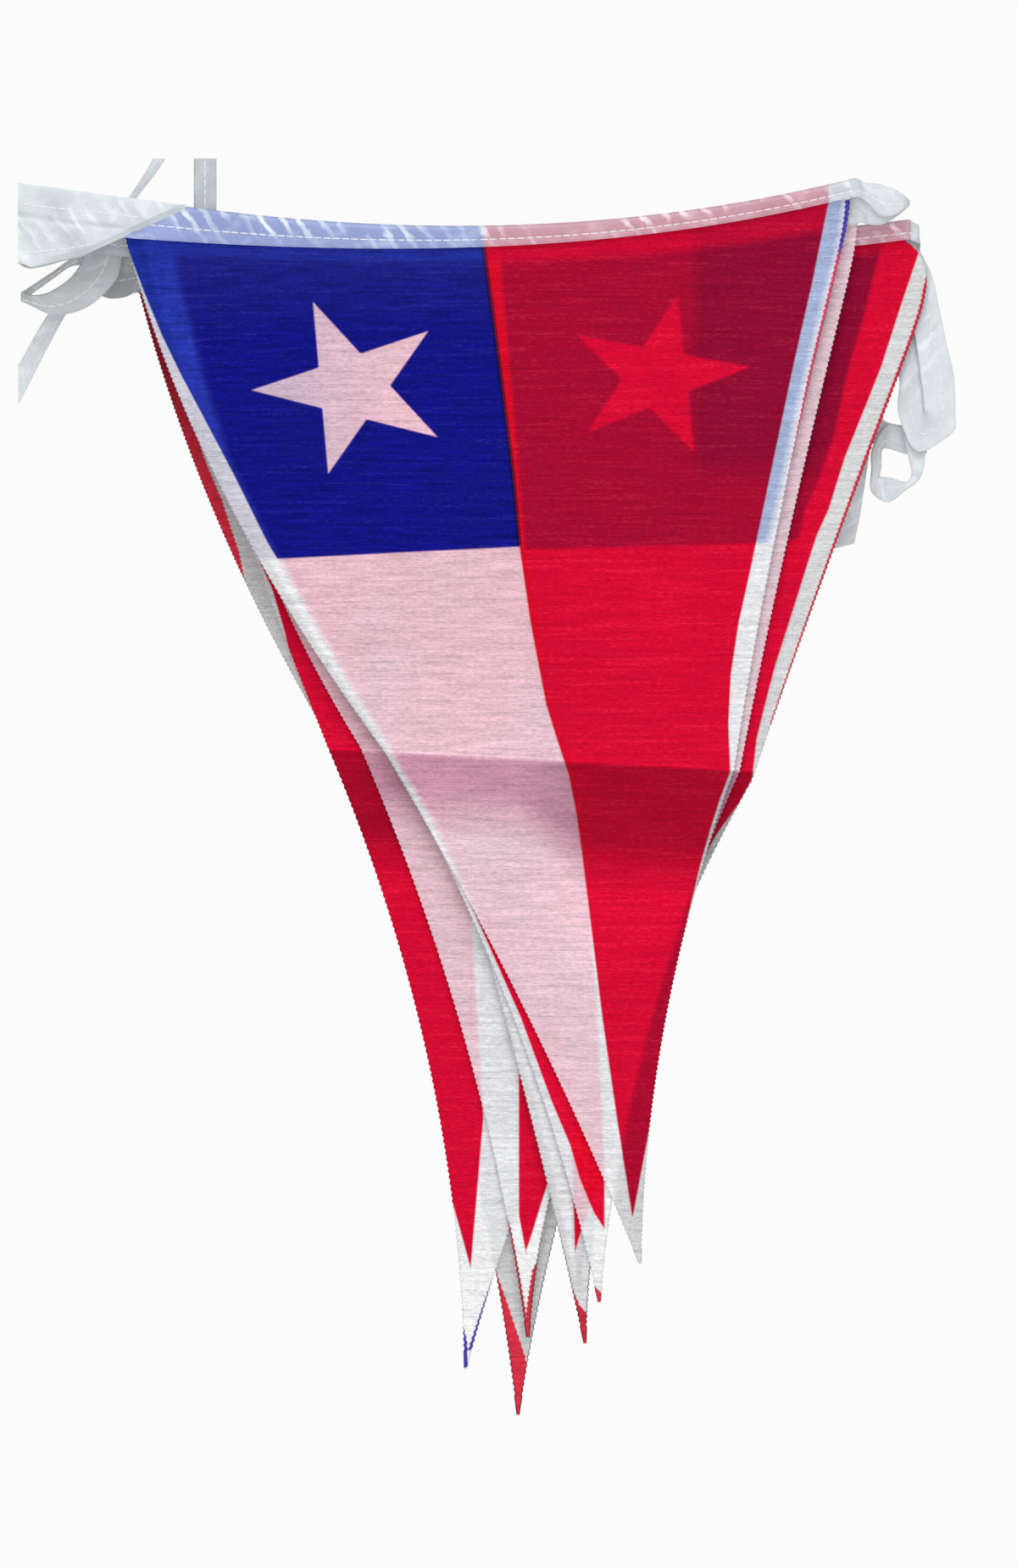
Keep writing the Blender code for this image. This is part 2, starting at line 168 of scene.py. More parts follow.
class Section(NamedTuple):
    """One section of the ribbon: its folded edge, its open edge and its depth."""
    fold: tuple
    foot: tuple
    depth: float
    gripping: float = 0.0      # 1 where the ribbon holds cloth, 0 where it is loose


def loose(*rows):
    """Sections of loose ribbon: x and z of the folded and of the open edge, and depth."""
    return tuple(Section(row[:2], row[2:4], row[4]) for row in rows)


# Front to back. Odd rows show the face of the print and even rows its back.
# Each row: left, right, sag, crease_left, crease_right, tip, bows, ear, tape
PENNANTS = (
    Pennant((-22.5, -22.7), (182.0, -11.3), 8.2, (50.2, -167.0), (149.3, -172.5),
            (122.7, -311.7), (-8.6, 3.4), (-2.4, -6.0), 1.8, (11.6, 5.3)),
    Pennant((-16.8, -26.6), (184.2, -18.3), 7.0, (51.7, -167.2), (150.9, -172.9),
            (111.2, -322.7), (-7.8, 6.5), (-1.2, -6.7), 1.6, (9.5, 9.7)),
    Pennant((1.9, -29.9), (197.6, -22.8), 3.8, (62.9, -168.9), (154.3, -175.8),
            (107.2, -334.4), (-6.0, 2.0), (-1.0, -10.8), 13.4, (8.0, 5.8)),
    Pennant((-6.5, -30.4), (193.0, -25.6), 6.0, (55.7, -168.2), (152.6, -174.9),
            (105.7, -320.1), (-6.2, 5.7), (1.5, -8.4), 0.0, (8.0, 6.7)),
    Pennant((-2.4, -33.2), (190.0, -27.0), 6.0, (43.5, -166.0), (150.7, -173.9),
            (91.1, -333.4), (-9.1, 6.2), (0.0, -12.0), 0.0, (8.0, 6.7)),
    Pennant((-16.7, -27.0), (188.5, -26.1), 6.0, (34.2, -165.8), (149.7, -174.1),
            (73.4, -342.1), (-1.2, 8.9), (0.0, -7.9), 0.0, (8.0, 6.7)),
    Pennant((-19.6, -36.8), (184.2, -34.2), 6.0, (37.3, -168.2), (147.8, -173.9),
            (88.3, -355.2), (-5.7, 7.2), (0.0, -8.1), 0.0, (10.8, 7.2)),
)

PRINTS = (
    Print(
        seam=((77.7, -18.7), (82.4, -54.0), (86.8, -89.2), (88.7, -109.6), (91.8, -131.0),
            (96.2, -154.0), (99.6, -165.0), (102.6, -174.0), (104.6, -184.0),
            (106.2, -195.0), (108.9, -217.0), (112.0, -242.3), (116.0, -270.0),
            (120.3, -297.3)),
        left=((-22.6, -23.2), (-17.2, -37.6), (-12.0, -50.2), (-6.4, -61.7), (-1.6, -70.8),
            (8.4, -89.8), (17.4, -108.0), (27.0, -124.0), (60.0, -180.0), (120.3, -297.8)),
        right=((175.8, -12.7), (171.2, -35.3), (166.0, -58.2), (163.1, -72.0),
            (159.7, -88.1), (156.8, -101.9), (153.9, -115.7), (150.5, -131.1),
            (148.3, -145.7), (147.6, -159.8), (148.1, -172.9), (145.2, -180.8),
            (142.6, -189.0), (139.7, -199.3), (136.3, -213.6), (131.1, -242.3),
            (126.3, -268.6), (120.8, -297.8)),
        star=(41.4, -64.6, 0.035, 0.0031, -0.0013, 0.039), canton=(-114.0, 0.05),
        white=(1.0, 1.0, 0.7),
        run_right=((-12.0, 1.3), (-26.0, 1.0), (-63.0, 0.8), (-80.0, 0.3), (-99.0, 0.0)),
        blue_above=-26.5),
    Print(
        seam=((83.2, -27.0), (90.4, -110.3), (97.1, -153.8), (103.8, -171.7),
            (107.2, -194.5), (110.7, -242.3), (112.7, -289.0), (112.7, -302.1)),
        left=((-10.5, -21.0), (-8.8, -24.6), (-6.5, -36.6), (-0.5, -60.5), (6.7, -84.4),
            (13.9, -98.8), (21.0, -113.1), (31.8, -132.3), (40.2, -146.6), (47.4, -158.6),
            (64.1, -186.1), (89.0, -242.3), (97.8, -266.2), (102.9, -278.2),
            (105.7, -287.8), (109.6, -297.3), (112.7, -302.1)),
        right=((180.0, -13.9), (178.4, -24.6), (172.2, -48.6), (166.6, -72.5),
            (163.2, -89.2), (158.8, -108.4), (147.0, -172.0), (113.0, -302.1)),
        star=(127.5, -61.6, -0.0378, -0.004, -0.0043, 0.0424), canton=(-112.8, 0.027),
        white=(0.94, 0.9, 0.94), lit=1.12,
        run_left=((-318.0, 0.0), (-320.5, 2.0), (-323.0, 3.0))),
    Print(
        seam=((95.2, -27.0), (97.6, -108.4), (98.8, -170.5), (102.9, -242.3),
            (103.8, -288.2), (104.3, -309.0)),
        star=(46.0, -68.0, 0.037, 0.003, -0.003, 0.039), white=(1.0, 0.76, 0.72),
        left=((6.0, -29.9), (62.0, -160.0), (104.0, -309.0)),
        right=((201.6, -26.3), (196.6, -41.1), (190.9, -58.8), (186.3, -70.3),
            (180.6, -84.4), (176.1, -98.8), (172.7, -106.2), (169.4, -116.5),
            (165.0, -130.4), (161.0, -142.8), (158.1, -153.8), (155.7, -163.4),
            (154.3, -175.1), (150.7, -181.8), (144.2, -190.9), (137.8, -202.8),
            (128.7, -237.5), (117.9, -271.0), (106.9, -300.0), (104.3, -309.0)),
        run_left=((-318.0, 0.0), (-324.0, 1.2), (-328.0, 5.0), (-336.0, 5.0)),
        run_right=((-33.0, 0.2), (-36.0, 0.9), (-80.0, 1.0), (-120.0, 0.7), (-160.0, 0.4))),
    Print(
        seam=((88.0, -27.0), (95.0, -165.0), (105.0, -305.0)),
        star=(134.0, -67.0, -0.037, -0.003, -0.003, 0.04),
        right=((190.9, -24.6), (186.1, -43.8), (181.3, -60.5), (177.7, -77.3),
            (172.9, -91.6), (169.4, -98.8), (167.4, -108.4), (150.0, -172.0),
            (106.0, -308.0))),
    Print(
        seam=((85.6, -27.0), (86.8, -170.5), (88.5, -257.1), (88.5, -313.4)),
        star=(43.0, -68.0, 0.037, 0.003, -0.003, 0.039), white=(0.96, 0.92, 0.92),
        right=((181.3, -31.8), (152.6, -165.8), (133.5, -206.4), (114.3, -249.5),
            (97.6, -286.6), (94.2, -297.3), (91.6, -305.7), (88.7, -313.4)),
        run_left=((-299.0, 0.0), (-302.0, 0.5), (-333.0, 0.9)),
        run_right=((-311.0, 0.0), (-314.0, 1.1), (-333.0, 1.6))),
    Print(
        seam=((66.5, -27.0), (72.5, -170.5), (78.5, -271.0), (74.9, -313.6)),
        star=(112.0, -66.0, -0.037, -0.003, -0.003, 0.04), white=(0.94, 0.94, 0.94),
        left=((-10.0, -34.2), (1.9, -74.9), (13.9, -110.7), (18.7, -121.5), (22.2, -133.5),
            (24.6, -144.2), (26.6, -151.4), (28.8, -158.0), (31.0, -165.8), (34.0, -180.0),
            (42.0, -210.0), (50.0, -240.0), (58.0, -270.0), (66.0, -290.0), (70.0, -296.0),
            (74.9, -313.6)),
        run_left=((-330.0, 0.0), (-334.0, 0.9), (-342.0, 1.2)),
        run_right=((-316.0, 0.0), (-321.0, 0.3), (-330.0, 0.6), (-337.0, 0.9)),
        blue_above=-400.0),
    Print(
        seam=((100.0, -36.0), (104.0, -170.0), (100.0, -300.0)),
        star=(54.0, -74.0, 0.037, 0.003, -0.003, 0.039), white=(0.84, 0.74, 0.66),
        body=0.92, lit=1.18,
        left=((-4.0, -36.8), (24.0, -110.0), (50.0, -170.0), (99.0, -300.0)),
        right=((180.0, -36.0), (146.0, -172.0), (101.0, -300.0)),
        run_left=((-36.0, 8.0), (-58.0, 6.0), (-70.0, 4.3), (-84.0, 3.5), (-96.0, 3.8),
            (-111.0, 2.2), (-119.0, 0.0), (-313.6, 0.0), (-339.2, 4.6), (-355.0, 4.6))),
)

# The ribbon between the pennants, in its order along the string
LEFT_END = loose(
    (-52.6, -7.4, -52.6, -16.7, -0.5), (-41.0, -8.9, -41.0, -18.4, -0.5),
    (-29.2, -10.8, -29.2, -20.6, -0.3),
)
TURN_1_2 = loose(
    (186.2, -7.0, 186.2, -12.2, 0.0), (191.0, -7.6, 190.6, -16.4, 0.1),
    (195.2, -9.3, 194.8, -15.9, 0.4), (197.5, -10.9, 197.4, -14.0, 1.3),
    (198.3, -11.6, 198.3, -13.1, 2.4), (197.4, -11.4, 197.3, -14.4, 3.6),
    (194.6, -11.0, 194.4, -16.9, 4.1), (191.0, -10.2, 191.0, -18.6, 4.1),
    (187.2, -9.2, 187.2, -18.6, 4.05),
)
TURN_2_3 = loose(
    (-22.5, -15.5, -22.5, -23.2, 3.9), (-29.2, -15.1, -29.2, -25.1, 3.9),
    (-34.4, -15.8, -34.4, -27.7, 3.9), (-40.0, -16.3, -40.0, -28.9, 3.9),
    (-46.0, -16.6, -46.0, -30.5, 3.9), (-50.4, -16.8, -50.4, -30.9, 4.0),
    (-52.4, -17.0, -52.4, -29.2, 6.0), (-50.4, -17.3, -50.4, -27.9, 8.0),
    (-46.0, -17.9, -46.0, -27.2, 8.0), (-34.4, -18.4, -34.4, -26.6, 8.0),
    (-22.0, -19.9, -22.0, -27.5, 8.0), (-10.0, -20.3, -10.0, -28.5, 8.0),
)
TURN_3_4 = loose(
    (199.8, -17.6, 199.8, -23.0, 8.1), (201.2, -18.6, 201.6, -24.0, 9.6),
    (198.6, -19.8, 201.9, -25.4, 11.1), (196.6, -22.6, 203.2, -27.8, 11.3),
    (197.1, -29.4, 205.2, -31.8, 11.2), (199.0, -41.4, 207.6, -41.9, 11.2),
    (200.9, -52.1, 209.5, -51.4, 11.2), (202.4, -62.9, 211.8, -62.0, 11.2),
    (202.9, -66.8, 212.1, -72.0, 11.3), (203.1, -69.6, 211.9, -76.4, 11.6),
    (203.2, -70.8, 208.2, -79.6, 12.4), (203.2, -70.4, 202.4, -82.4, 13.1),
    (203.6, -67.3, 196.8, -74.2, 13.7), (204.5, -58.1, 196.4, -61.7, 13.7),
    (203.8, -46.2, 195.7, -48.6, 13.7), (201.4, -31.8, 193.8, -35.2, 13.7),
    (196.9, -20.5, 195.4, -27.0, 13.0),
)
TURN_4_5 = loose(
    (-12.4, -23.2, -12.4, -30.4, 12.0), (-24.4, -20.8, -21.5, -28.0, 12.0),
    (-33.0, -25.1, -23.7, -27.5, 12.0), (-35.6, -29.4, -25.1, -33.0, 12.0),
    (-38.3, -33.0, -29.2, -38.0, 12.0), (-42.1, -35.9, -34.9, -42.1, 12.0),
    (-46.4, -37.8, -43.6, -43.6, 12.0), (-50.1, -37.9, -49.7, -41.0, 12.1),
    (-52.1, -37.1, -52.1, -39.5, 14.0), (-50.4, -35.7, -50.2, -38.0, 15.9),
    (-43.5, -31.1, -43.1, -32.9, 16.0), (-38.8, -27.7, -38.3, -29.7, 16.0),
    (-31.1, -23.7, -30.6, -29.9, 16.0), (-19.6, -25.1, -19.6, -32.3, 16.0),
)
TURN_5_6 = loose(
    (195.2, -20.8, 194.2, -27.5, 16.0), (200.4, -29.9, 193.8, -34.7, 16.0),
    (203.3, -46.2, 195.2, -48.6, 16.0), (205.5, -62.9, 196.6, -64.1, 16.0),
    (205.2, -74.9, 197.3, -75.3, 16.0), (204.0, -82.0, 198.8, -83.2, 16.0),
    (201.6, -90.7, 199.7, -89.2, 16.1), (198.1, -93.3, 198.5, -90.7, 16.6),
    (192.8, -96.6, 193.8, -89.5, 17.2), (188.5, -93.5, 191.1, -89.2, 17.7),
    (188.5, -87.3, 191.4, -86.8, 18.0), (189.0, -80.6, 191.8, -81.6, 18.3),
    (192.3, -75.1, 193.3, -81.3, 18.9), (197.6, -74.9, 198.8, -82.8, 19.2),
    (202.3, -75.4, 202.8, -82.5, 19.5), (203.5, -75.6, 204.0, -82.5, 20.8),
    (202.2, -75.3, 202.4, -82.4, 22.0), (198.0, -74.6, 197.2, -81.6, 22.0),
    (192.8, -73.4, 189.4, -79.7, 22.0), (190.4, -67.7, 183.2, -70.1, 22.0),
    (192.3, -46.2, 184.7, -47.4, 21.6), (194.2, -29.4, 188.9, -34.2, 20.8),
    (193.0, -20.8, 192.0, -27.0, 20.2),
)
TURN_6_7 = loose(
    (-22.0, -18.4, -22.0, -25.8, 20.0), (-29.9, -19.9, -29.9, -27.6, 20.1),
    (-32.0, -23.2, -32.0, -34.0, 22.0), (-30.4, -25.4, -30.4, -37.3, 23.9),
    (-23.0, -26.1, -23.0, -37.8, 24.0),
)
RIGHT_END = loose(
    (187.4, -27.5, 186.4, -34.2, 24.0), (191.8, -35.6, 184.7, -39.0, 24.0),
    (191.8, -55.7, 183.2, -56.9, 24.0), (189.4, -74.9, 181.1, -74.9, 24.0),
    (187.1, -90.4, 178.9, -89.2, 24.0), (185.6, -100.0, 177.5, -99.0, 24.0),
    (183.9, -108.1, 178.0, -109.6, 24.0),
)
TURNS = (TURN_1_2, TURN_2_3, TURN_3_4, TURN_4_5, TURN_5_6, TURN_6_7)
SLANTING_RIBBON = loose(
    (-15.6, 1.5, -12.0, 1.5, SLANT_DEPTH), (-18.6, -3.7, -15.6, -3.7, SLANT_DEPTH),
    (-22.2, -9.0, -19.8, -9.0, SLANT_DEPTH), (-33.8, -26.1, -30.0, -27.0, SLANT_DEPTH),
    (-45.3, -42.4, -41.0, -43.8, SLANT_DEPTH), (-54.0, -57.4, -54.0, -68.6, SLANT_DEPTH),
)

# The ribbon opened flat at the left, in front: its top edge, its lower edge with the
# slanting fold, and the furrow between, as x and z
OPENED_TOP = ((-52.6, -7.2), (-41.0, -8.7), (-29.2, -10.4), (-5.0, -13.4))
OPENED_FOOT = ((-52.6, -29.4), (-48.8, -30.9), (-39.9, -28.9), (-34.4, -27.7),
               (-22.5, -22.4), (-5.0, -14.3))
OPENED_FURROW = ((-52.6, -16.5), (-40.0, -18.4), (-23.7, -20.1), (-5.0, -24.0))
OPENED_STITCHES = (((-52.4, -13.2), (-35.0, -15.2), (-17.5, -17.0)),
                   ((-52.4, -27.0), (-40.0, -25.9), (-29.0, -24.2)))


# Settings

def colour_setting(name, default, description):
    return FloatVectorProperty(name=name, default=default, description=description,
                               subtype="COLOR", min=0.0, max=1.0)


def share_setting(name, default, description):
    return FloatProperty(name=name, default=default, description=description,
                         subtype="FACTOR", min=0.0, max=1.0)


def length_setting(name, default, low, high, description):
    return FloatProperty(name=name, default=default, description=description,
                         unit="LENGTH", min=low, max=high)


class BuntingCloth(bpy.types.PropertyGroup):
    """Sizes and colours of the printed cloth."""
    red: colour_setting("Red dye", (0.650, 0.001, 0.030), "Colour of the fly half")
    blue: colour_setting("Blue dye", (0.015, 0.029, 0.345), "Colour of the canton")
    white: colour_setting("Undyed cloth", (0.830, 0.840, 0.880),
                          "Colour of the cloth where nothing is printed")
    dyed_body: share_setting("Dyed body", 1.0,
                             "How much the dyed cloth hides of what is behind")
    show_through: share_setting("Show-through", 0.72,
                                "How far the next layer's print shows")
    thread: length_setting("Thread pitch", 0.00055, 0.0001, 0.01,
                           "Distance of the weft threads")
    tooth: length_setting("Tooth", 0.00036, 0.0, 0.005,
                          "Depth of the teeth of the cut edges")
    columns: IntProperty(name="Columns", description="Faces across a pennant",
                         default=64, min=8, max=200)
    rows: IntProperty(name="Rows", description="Faces down a pennant",
                      default=416, min=20, max=800)


class BuntingRibbon(bpy.types.PropertyGroup):
    """Sizes and colours of the ribbon and its thread."""
    satin: colour_setting("Satin", (0.740, 0.795, 0.825), "Colour of the ribbon")
    over_blue: colour_setting("Satin over blue", (0.370, 0.450, 0.800),
                              "Its colour where it holds blue cloth")
    over_red: colour_setting("Satin over red", (0.700, 0.380, 0.470),
                             "Its colour where it holds red cloth")
    body: share_setting("Body", 0.76, "How much a leaf of it hides of the cloth in it")
    loose_body: share_setting("Loose body", 0.88,
                              "How much a leaf hides where it holds no cloth")
    stitch: length_setting("Stitch", 0.0026, 0.0005, 0.02, "From one stitch to the next")
    thread: length_setting("Thread", 0.00042, 0.0001, 0.002,
                           "Thickness of the sewing thread")
    thread_colour: colour_setting("Thread colour", (0.900, 0.920, 0.930),
                                  "Colour of the sewing thread")


class BuntingStage(bpy.types.PropertyGroup):
    """The floor, the lights and the camera."""
    drop: length_setting("Floor drop", 0.90, 0.0, 5.0, "From the lowest tip to the floor")
    floor_size: length_setting("Floor size", 6.0, 0.5, 20.0, "Side of the floor")
    tone: colour_setting("Tone", (0.97, 0.97, 0.97), "Colour of the floor and the air")
    air: FloatProperty(name="Air", description="How much light comes from all around",
                       default=0.30, min=0.0, max=2.0)
    distance: length_setting("Camera distance", 2.5, 0.5, 20.0,
                             "From the camera to the bunting")
    lens: FloatProperty(name="Lens", description="Focal length of the camera",
                        default=203.4, unit="CAMERA", min=10.0, max=500.0)


# Shapes

def mix(a, b, share):
    return a + (b - a) * share


def ease(low, high, value):
    """0 at low, 1 at high, with a smooth start and end."""
    share = np.clip((value - low) / (high - low), 0.0, 1.0)
    return share * share * (3.0 - 2.0 * share)


def arch(share, skew=0.0):
    """0 at both ends and 1 in the middle, or lopsided to the right by a skew."""
    return 4.0 * share * (1.0 - share) * (1.0 + skew * (share - 0.5))


def layer_depth(layer, z):
    """Depth of a layer's cloth, which closes up on the held layer lower down."""
    pitch = mix(LAYER_PITCH, LOW_PITCH, ease(PITCH_TOP, PITCH_LOW, z))
    return HELD_LAYER * LAYER_PITCH + (layer - HELD_LAYER) * pitch


def relief(x, z):
    """How far back the crease and the waves push every layer at x and z."""
    below = z - CREASE_HEIGHT - CREASE_SLOPE * x
    ridge = np.exp(-(np.hypot(below, CREASE_ROUND) - CREASE_ROUND) / CREASE_REACH)
    wave = np.sin(2.0 * math.pi * (x - WAVE_LEAN * z) / WAVE_LENGTH)
    ripple = np.sin(2.0 * math.pi * (RIPPLE_LEAN[0] * x + RIPPLE_LEAN[1] * below)
                    / RIPPLE_LENGTH)
    ripple *= np.exp(-((below + RIPPLE_DROP) / RIPPLE_SPREAD) ** 2)
    ripple *= ease(*RIPPLE_START, x)
    return (WAVE_HEIGHT * wave * ease(WAVE_TOP, WAVE_FULL, z) - CREASE_RIDGE * ridge
            + RIPPLE_HEIGHT * ripple)


def tape_height(pennant, across):
    left, right = pennant.tape
    return right + (left - right) * np.maximum(1.0 - across, 0.0) ** TAPE_FLARE


def edge_line(corner, crease, tip, bow, ear, down):
    """x and z of a pennant's side edge at shares of its length."""
    upper = np.clip(down / CREASE_AT, 0.0, 1.0)
    lower = np.clip((down - CREASE_AT) / (1.0 - CREASE_AT), 0.0, 1.0)
    above = (mix(corner[0], crease[0], upper) + bow[0] * arch(upper)
             + ear * (1.0 - np.exp(-down / EAR_REACH) - upper))
    below = mix(crease[0], tip[0], lower) + bow[1] * arch(lower)
    x = np.where(down < CREASE_AT, above, below)
    z = np.where(down < CREASE_AT, mix(corner[1], crease[1], upper),
                 mix(crease[1], tip[1], lower))
    return x, z


def side_edges(pennant, down):
    """x and z of a pennant's left edge and of its right edge."""
    left_tip = (pennant.tip[0] - TIP_WIDTH / 2.0, pennant.tip[1])
    right_tip = (pennant.tip[0] + TIP_WIDTH / 2.0, pennant.tip[1])
    return (edge_line(pennant.left, pennant.crease_left, left_tip,
                      pennant.bow_left, 0.0, down),
            edge_line(pennant.right, pennant.crease_right, right_tip,
                      pennant.bow_right, pennant.ear, down))


def along(line, z):
    """x of a line of points x and z, at heights z."""
    return np.interp(-z, [-point[1] for point in line], [point[0] for point in line])


def print_lines(layer):
    """The print's left edge, seam and right edge on a pennant, as points x and z."""
    lines = PRINTS[layer]
    down = np.linspace(0.0, 1.0, 60)
    left, right = side_edges(PENNANTS[layer], down)
    even_left = tuple(zip(left[0] + EVEN_MARGIN, left[1]))
    even_right = tuple(zip(right[0] - EVEN_MARGIN, right[1]))
    return lines.left or even_left, lines.seam, lines.right or even_right


def print_places(layer, x, z):
    """How far from the seam, above the canton's foot and inside the print's edges."""
    left, seam, right = print_lines(layer)
    foot, slope = PRINTS[layer].canton
    side = 1.0 if layer % 2 == 0 else -1.0
    past = np.maximum(max(left[-1][1], right[-1][1]) - z, 0.0)
    return ((x - along(seam, z)) * side, z - foot - slope * x,
            np.minimum(x - along(left, z), along(right, z) - x) - 0.5 * past)


def width_at(table, z):
    """Width at heights z, from a table of heights and widths; 0 outside it."""
    if not table:
        return np.full_like(z, -1.0)
    return np.interp(-z, [-height for height, _ in table],
                     [width for _, width in table], left=-1.0, right=-1.0)


def add_piece(name, mesh, material, node):
    """Put a mesh in the scene as a piece that stands for a node of the part."""
    mesh.materials.append(material)
    mesh.shade_smooth()
    piece = bpy.data.objects.new(name, mesh)
    bpy.context.scene.collection.objects.link(piece)
    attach(piece, "root")
    if node:
        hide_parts(node)
    return piece


def sheet_mesh(name, points, maps):
    """A mesh of rows of points, with maps of two values for each point."""
    rows, columns = points.shape[:2]
    index = np.arange(rows * columns).reshape(rows, columns)
    corners = np.stack((index[:-1, :-1], index[1:, :-1], index[1:, 1:],
                        index[:-1, 1:]), axis=-1).reshape(-1, 4)
    mesh = bpy.data.meshes.new(name)
    mesh.from_pydata(points.reshape(-1, 3).tolist(), [], corners.tolist())
    order = corners.ravel()
    for title, (first, second) in maps.items():
        layer = mesh.uv_layers.new(name=title)
        values = np.stack((first.ravel()[order], second.ravel()[order]), axis=-1)
        layer.data.foreach_set("uv", values.astype(np.float32).ravel())
    return mesh


def pennant_mesh(layer, cloth):
    """One pennant's sheet, with the maps that its print and its edges follow."""
    pennant = PENNANTS[layer]
    down = np.concatenate((np.zeros(TUCKED_ROWS), np.linspace(0.0, 1.0, cloth.rows + 1)))
    (left_x, left_z), (right_x, right_z) = side_edges(pennant, down)
    teeth = np.where(np.arange(len(down)) % 2 == 1, cloth.tooth / MM, 0.0)
    teeth[:TUCKED_ROWS] = 0.0
    teeth[-SMOOTH_TIP_ROWS:] = 0.0
    across = np.linspace(0.0, 1.0, cloth.columns + 1)[None, :]
    left_x, right_x = left_x + teeth, right_x - teeth
    x = mix(left_x[:, None], right_x[:, None], across)
    z = mix(left_z[:, None], right_z[:, None], across)
    z = z - pennant.sag * arch(across, SAG_SKEW) * (1.0 - down[:, None]) ** SAG_FADE
    tuck = np.maximum(1.0 - np.arange(len(down)) / TUCKED_ROWS, 0.0)[:, None]
    if layer == 0:
        x = x + tuck * (1.0 - across) * CORNER_SLANT
        foot = z - ribbon_foot(layer, x, z)
        z = np.where(tuck > 0.0, foot, z)
    place = (x - pennant.left[0]) / (pennant.right[0] - pennant.left[0])
    z = z + tuck * (tape_height(pennant, np.clip(place, 0.0, 1.0)) - TUCKED)
    y = layer_depth(layer, z) - HELD_LAYER * LAYER_PITCH + relief(x, z)
    width = (right_x - left_x)[:, None]
    from_left, from_right = width * across, width * (1.0 - across)
    marks, behind = PRINTS[layer], neighbour(layer)
    side, height, inside = print_places(layer, x, z)
    next_side, next_height, next_inside = print_places(behind, x, z)
    runs = np.maximum(width_at(marks.run_left, z) - from_left,
                      width_at(marks.run_right, z) - from_right)
    maps = {
        "print": (side, height), "next print": (next_side, next_height),
        "margins": (inside, next_inside),
        "edges": (np.minimum(from_left, from_right), runs),
        "next layer": (ribbon_foot(behind, x, z), inside_cloth(behind, x, z)),
        "hang": (x, z),
    }
    maps = {title: (first * MM, second * MM) for title, (first, second) in maps.items()}
    return sheet_mesh(f"cloth {layer + 1}", np.stack((x, y, z), axis=-1) * MM, maps)


def inside_cloth(layer, x, z):
    """How far inside a layer's cut edges the points x and z lie."""
    left, right = side_edges(PENNANTS[layer], np.linspace(0.0, 1.0, 200))
    return np.minimum(x - np.interp(-z, -left[1], left[0]),
                      np.interp(-z, -right[1], right[0]) - x)


def ribbon_foot(layer, x, z):
    """How far up from the foot of a layer's ribbon the points x and z lie."""
    pennant = PENNANTS[layer]
    across = np.clip((x - pennant.left[0]) / (pennant.right[0] - pennant.left[0]), 0, 1)
    foot = mix(pennant.left[1], pennant.right[1], across)
    return z - foot + pennant.sag * arch(across, SAG_SKEW)


def neighbour(layer):
    """The layer that shows through a layer: the next one back, or the last but one."""
    return layer + 1 if layer + 1 < len(PENNANTS) else layer - 1


def span_sections(layer, pennant):
    """Sections of the ribbon over one pennant's top edge, left to right."""
    overhang = SPAN_END / (pennant.right[0] - pennant.left[0])
    sections = []
    for across in (-overhang, *np.linspace(0.0, 1.0, SPAN_STEPS + 1), 1.0 + overhang):
        x = mix(pennant.left[0], pennant.right[0], across)
        z = mix(pennant.left[1], pennant.right[1], across)
        z -= pennant.sag * arch(across, SAG_SKEW)
        height = float(tape_height(pennant, across))
        sections.append(Section((x, z + height), (x, z), layer * LAYER_PITCH, 1.0))
    return sections


def string_sections():
    """The whole ribbon, from its left end through all layers to its right end."""
    sections = list(LEFT_END)
    for layer, pennant in enumerate(PENNANTS):
        span = span_sections(layer, pennant)
        if layer % 2 == 1:
            span.reverse()
        sections += span
        if layer < len(TURNS):
            sections += TURNS[layer]
    return sections + list(RIGHT_END)


def smooth_sections(sections):
    """Sections read off a smooth curve through the given ones."""
    values = np.array([(*s.fold, *s.foot, s.depth, s.gripping) for s in sections])
    steps = np.diff(values, axis=0)
    gaps = np.linalg.norm(np.stack((steps[:, 0] + steps[:, 2], steps[:, 1] + steps[:, 3],
                                    2.0 * steps[:, 4])), axis=0) / 2.0
    rates = steps / gaps[:, None]
    slopes = np.empty_like(values)
    slopes[0], slopes[-1] = rates[0], rates[-1]
    whole = (gaps[:-1] + gaps[1:])[:, None]
    slopes[1:-1] = (rates[:-1] * gaps[1:, None] + rates[1:] * gaps[:-1, None]) / whole
    smooth = []
    for index, gap in enumerate(gaps):
        start, end = values[index], values[index + 1]
        count = 1 if start[5] == end[5] == 1.0 else LOOSE_STEPS
        for share in np.arange(count) / count:
            smooth.append(start + (end - start) * share * share * (3.0 - 2.0 * share)
                          + slopes[index] * share * (1.0 - share) ** 2 * gap
                          - slopes[index + 1] * share * share * (1.0 - share) * gap)
    smooth.append(values[-1])
    return np.array(smooth)


def lengths_along(line):
    """For each point of a line, how far along the line it lies."""
    steps = np.linalg.norm(np.diff(line, axis=0), axis=1)
    return np.concatenate(([0.0], np.cumsum(steps)))


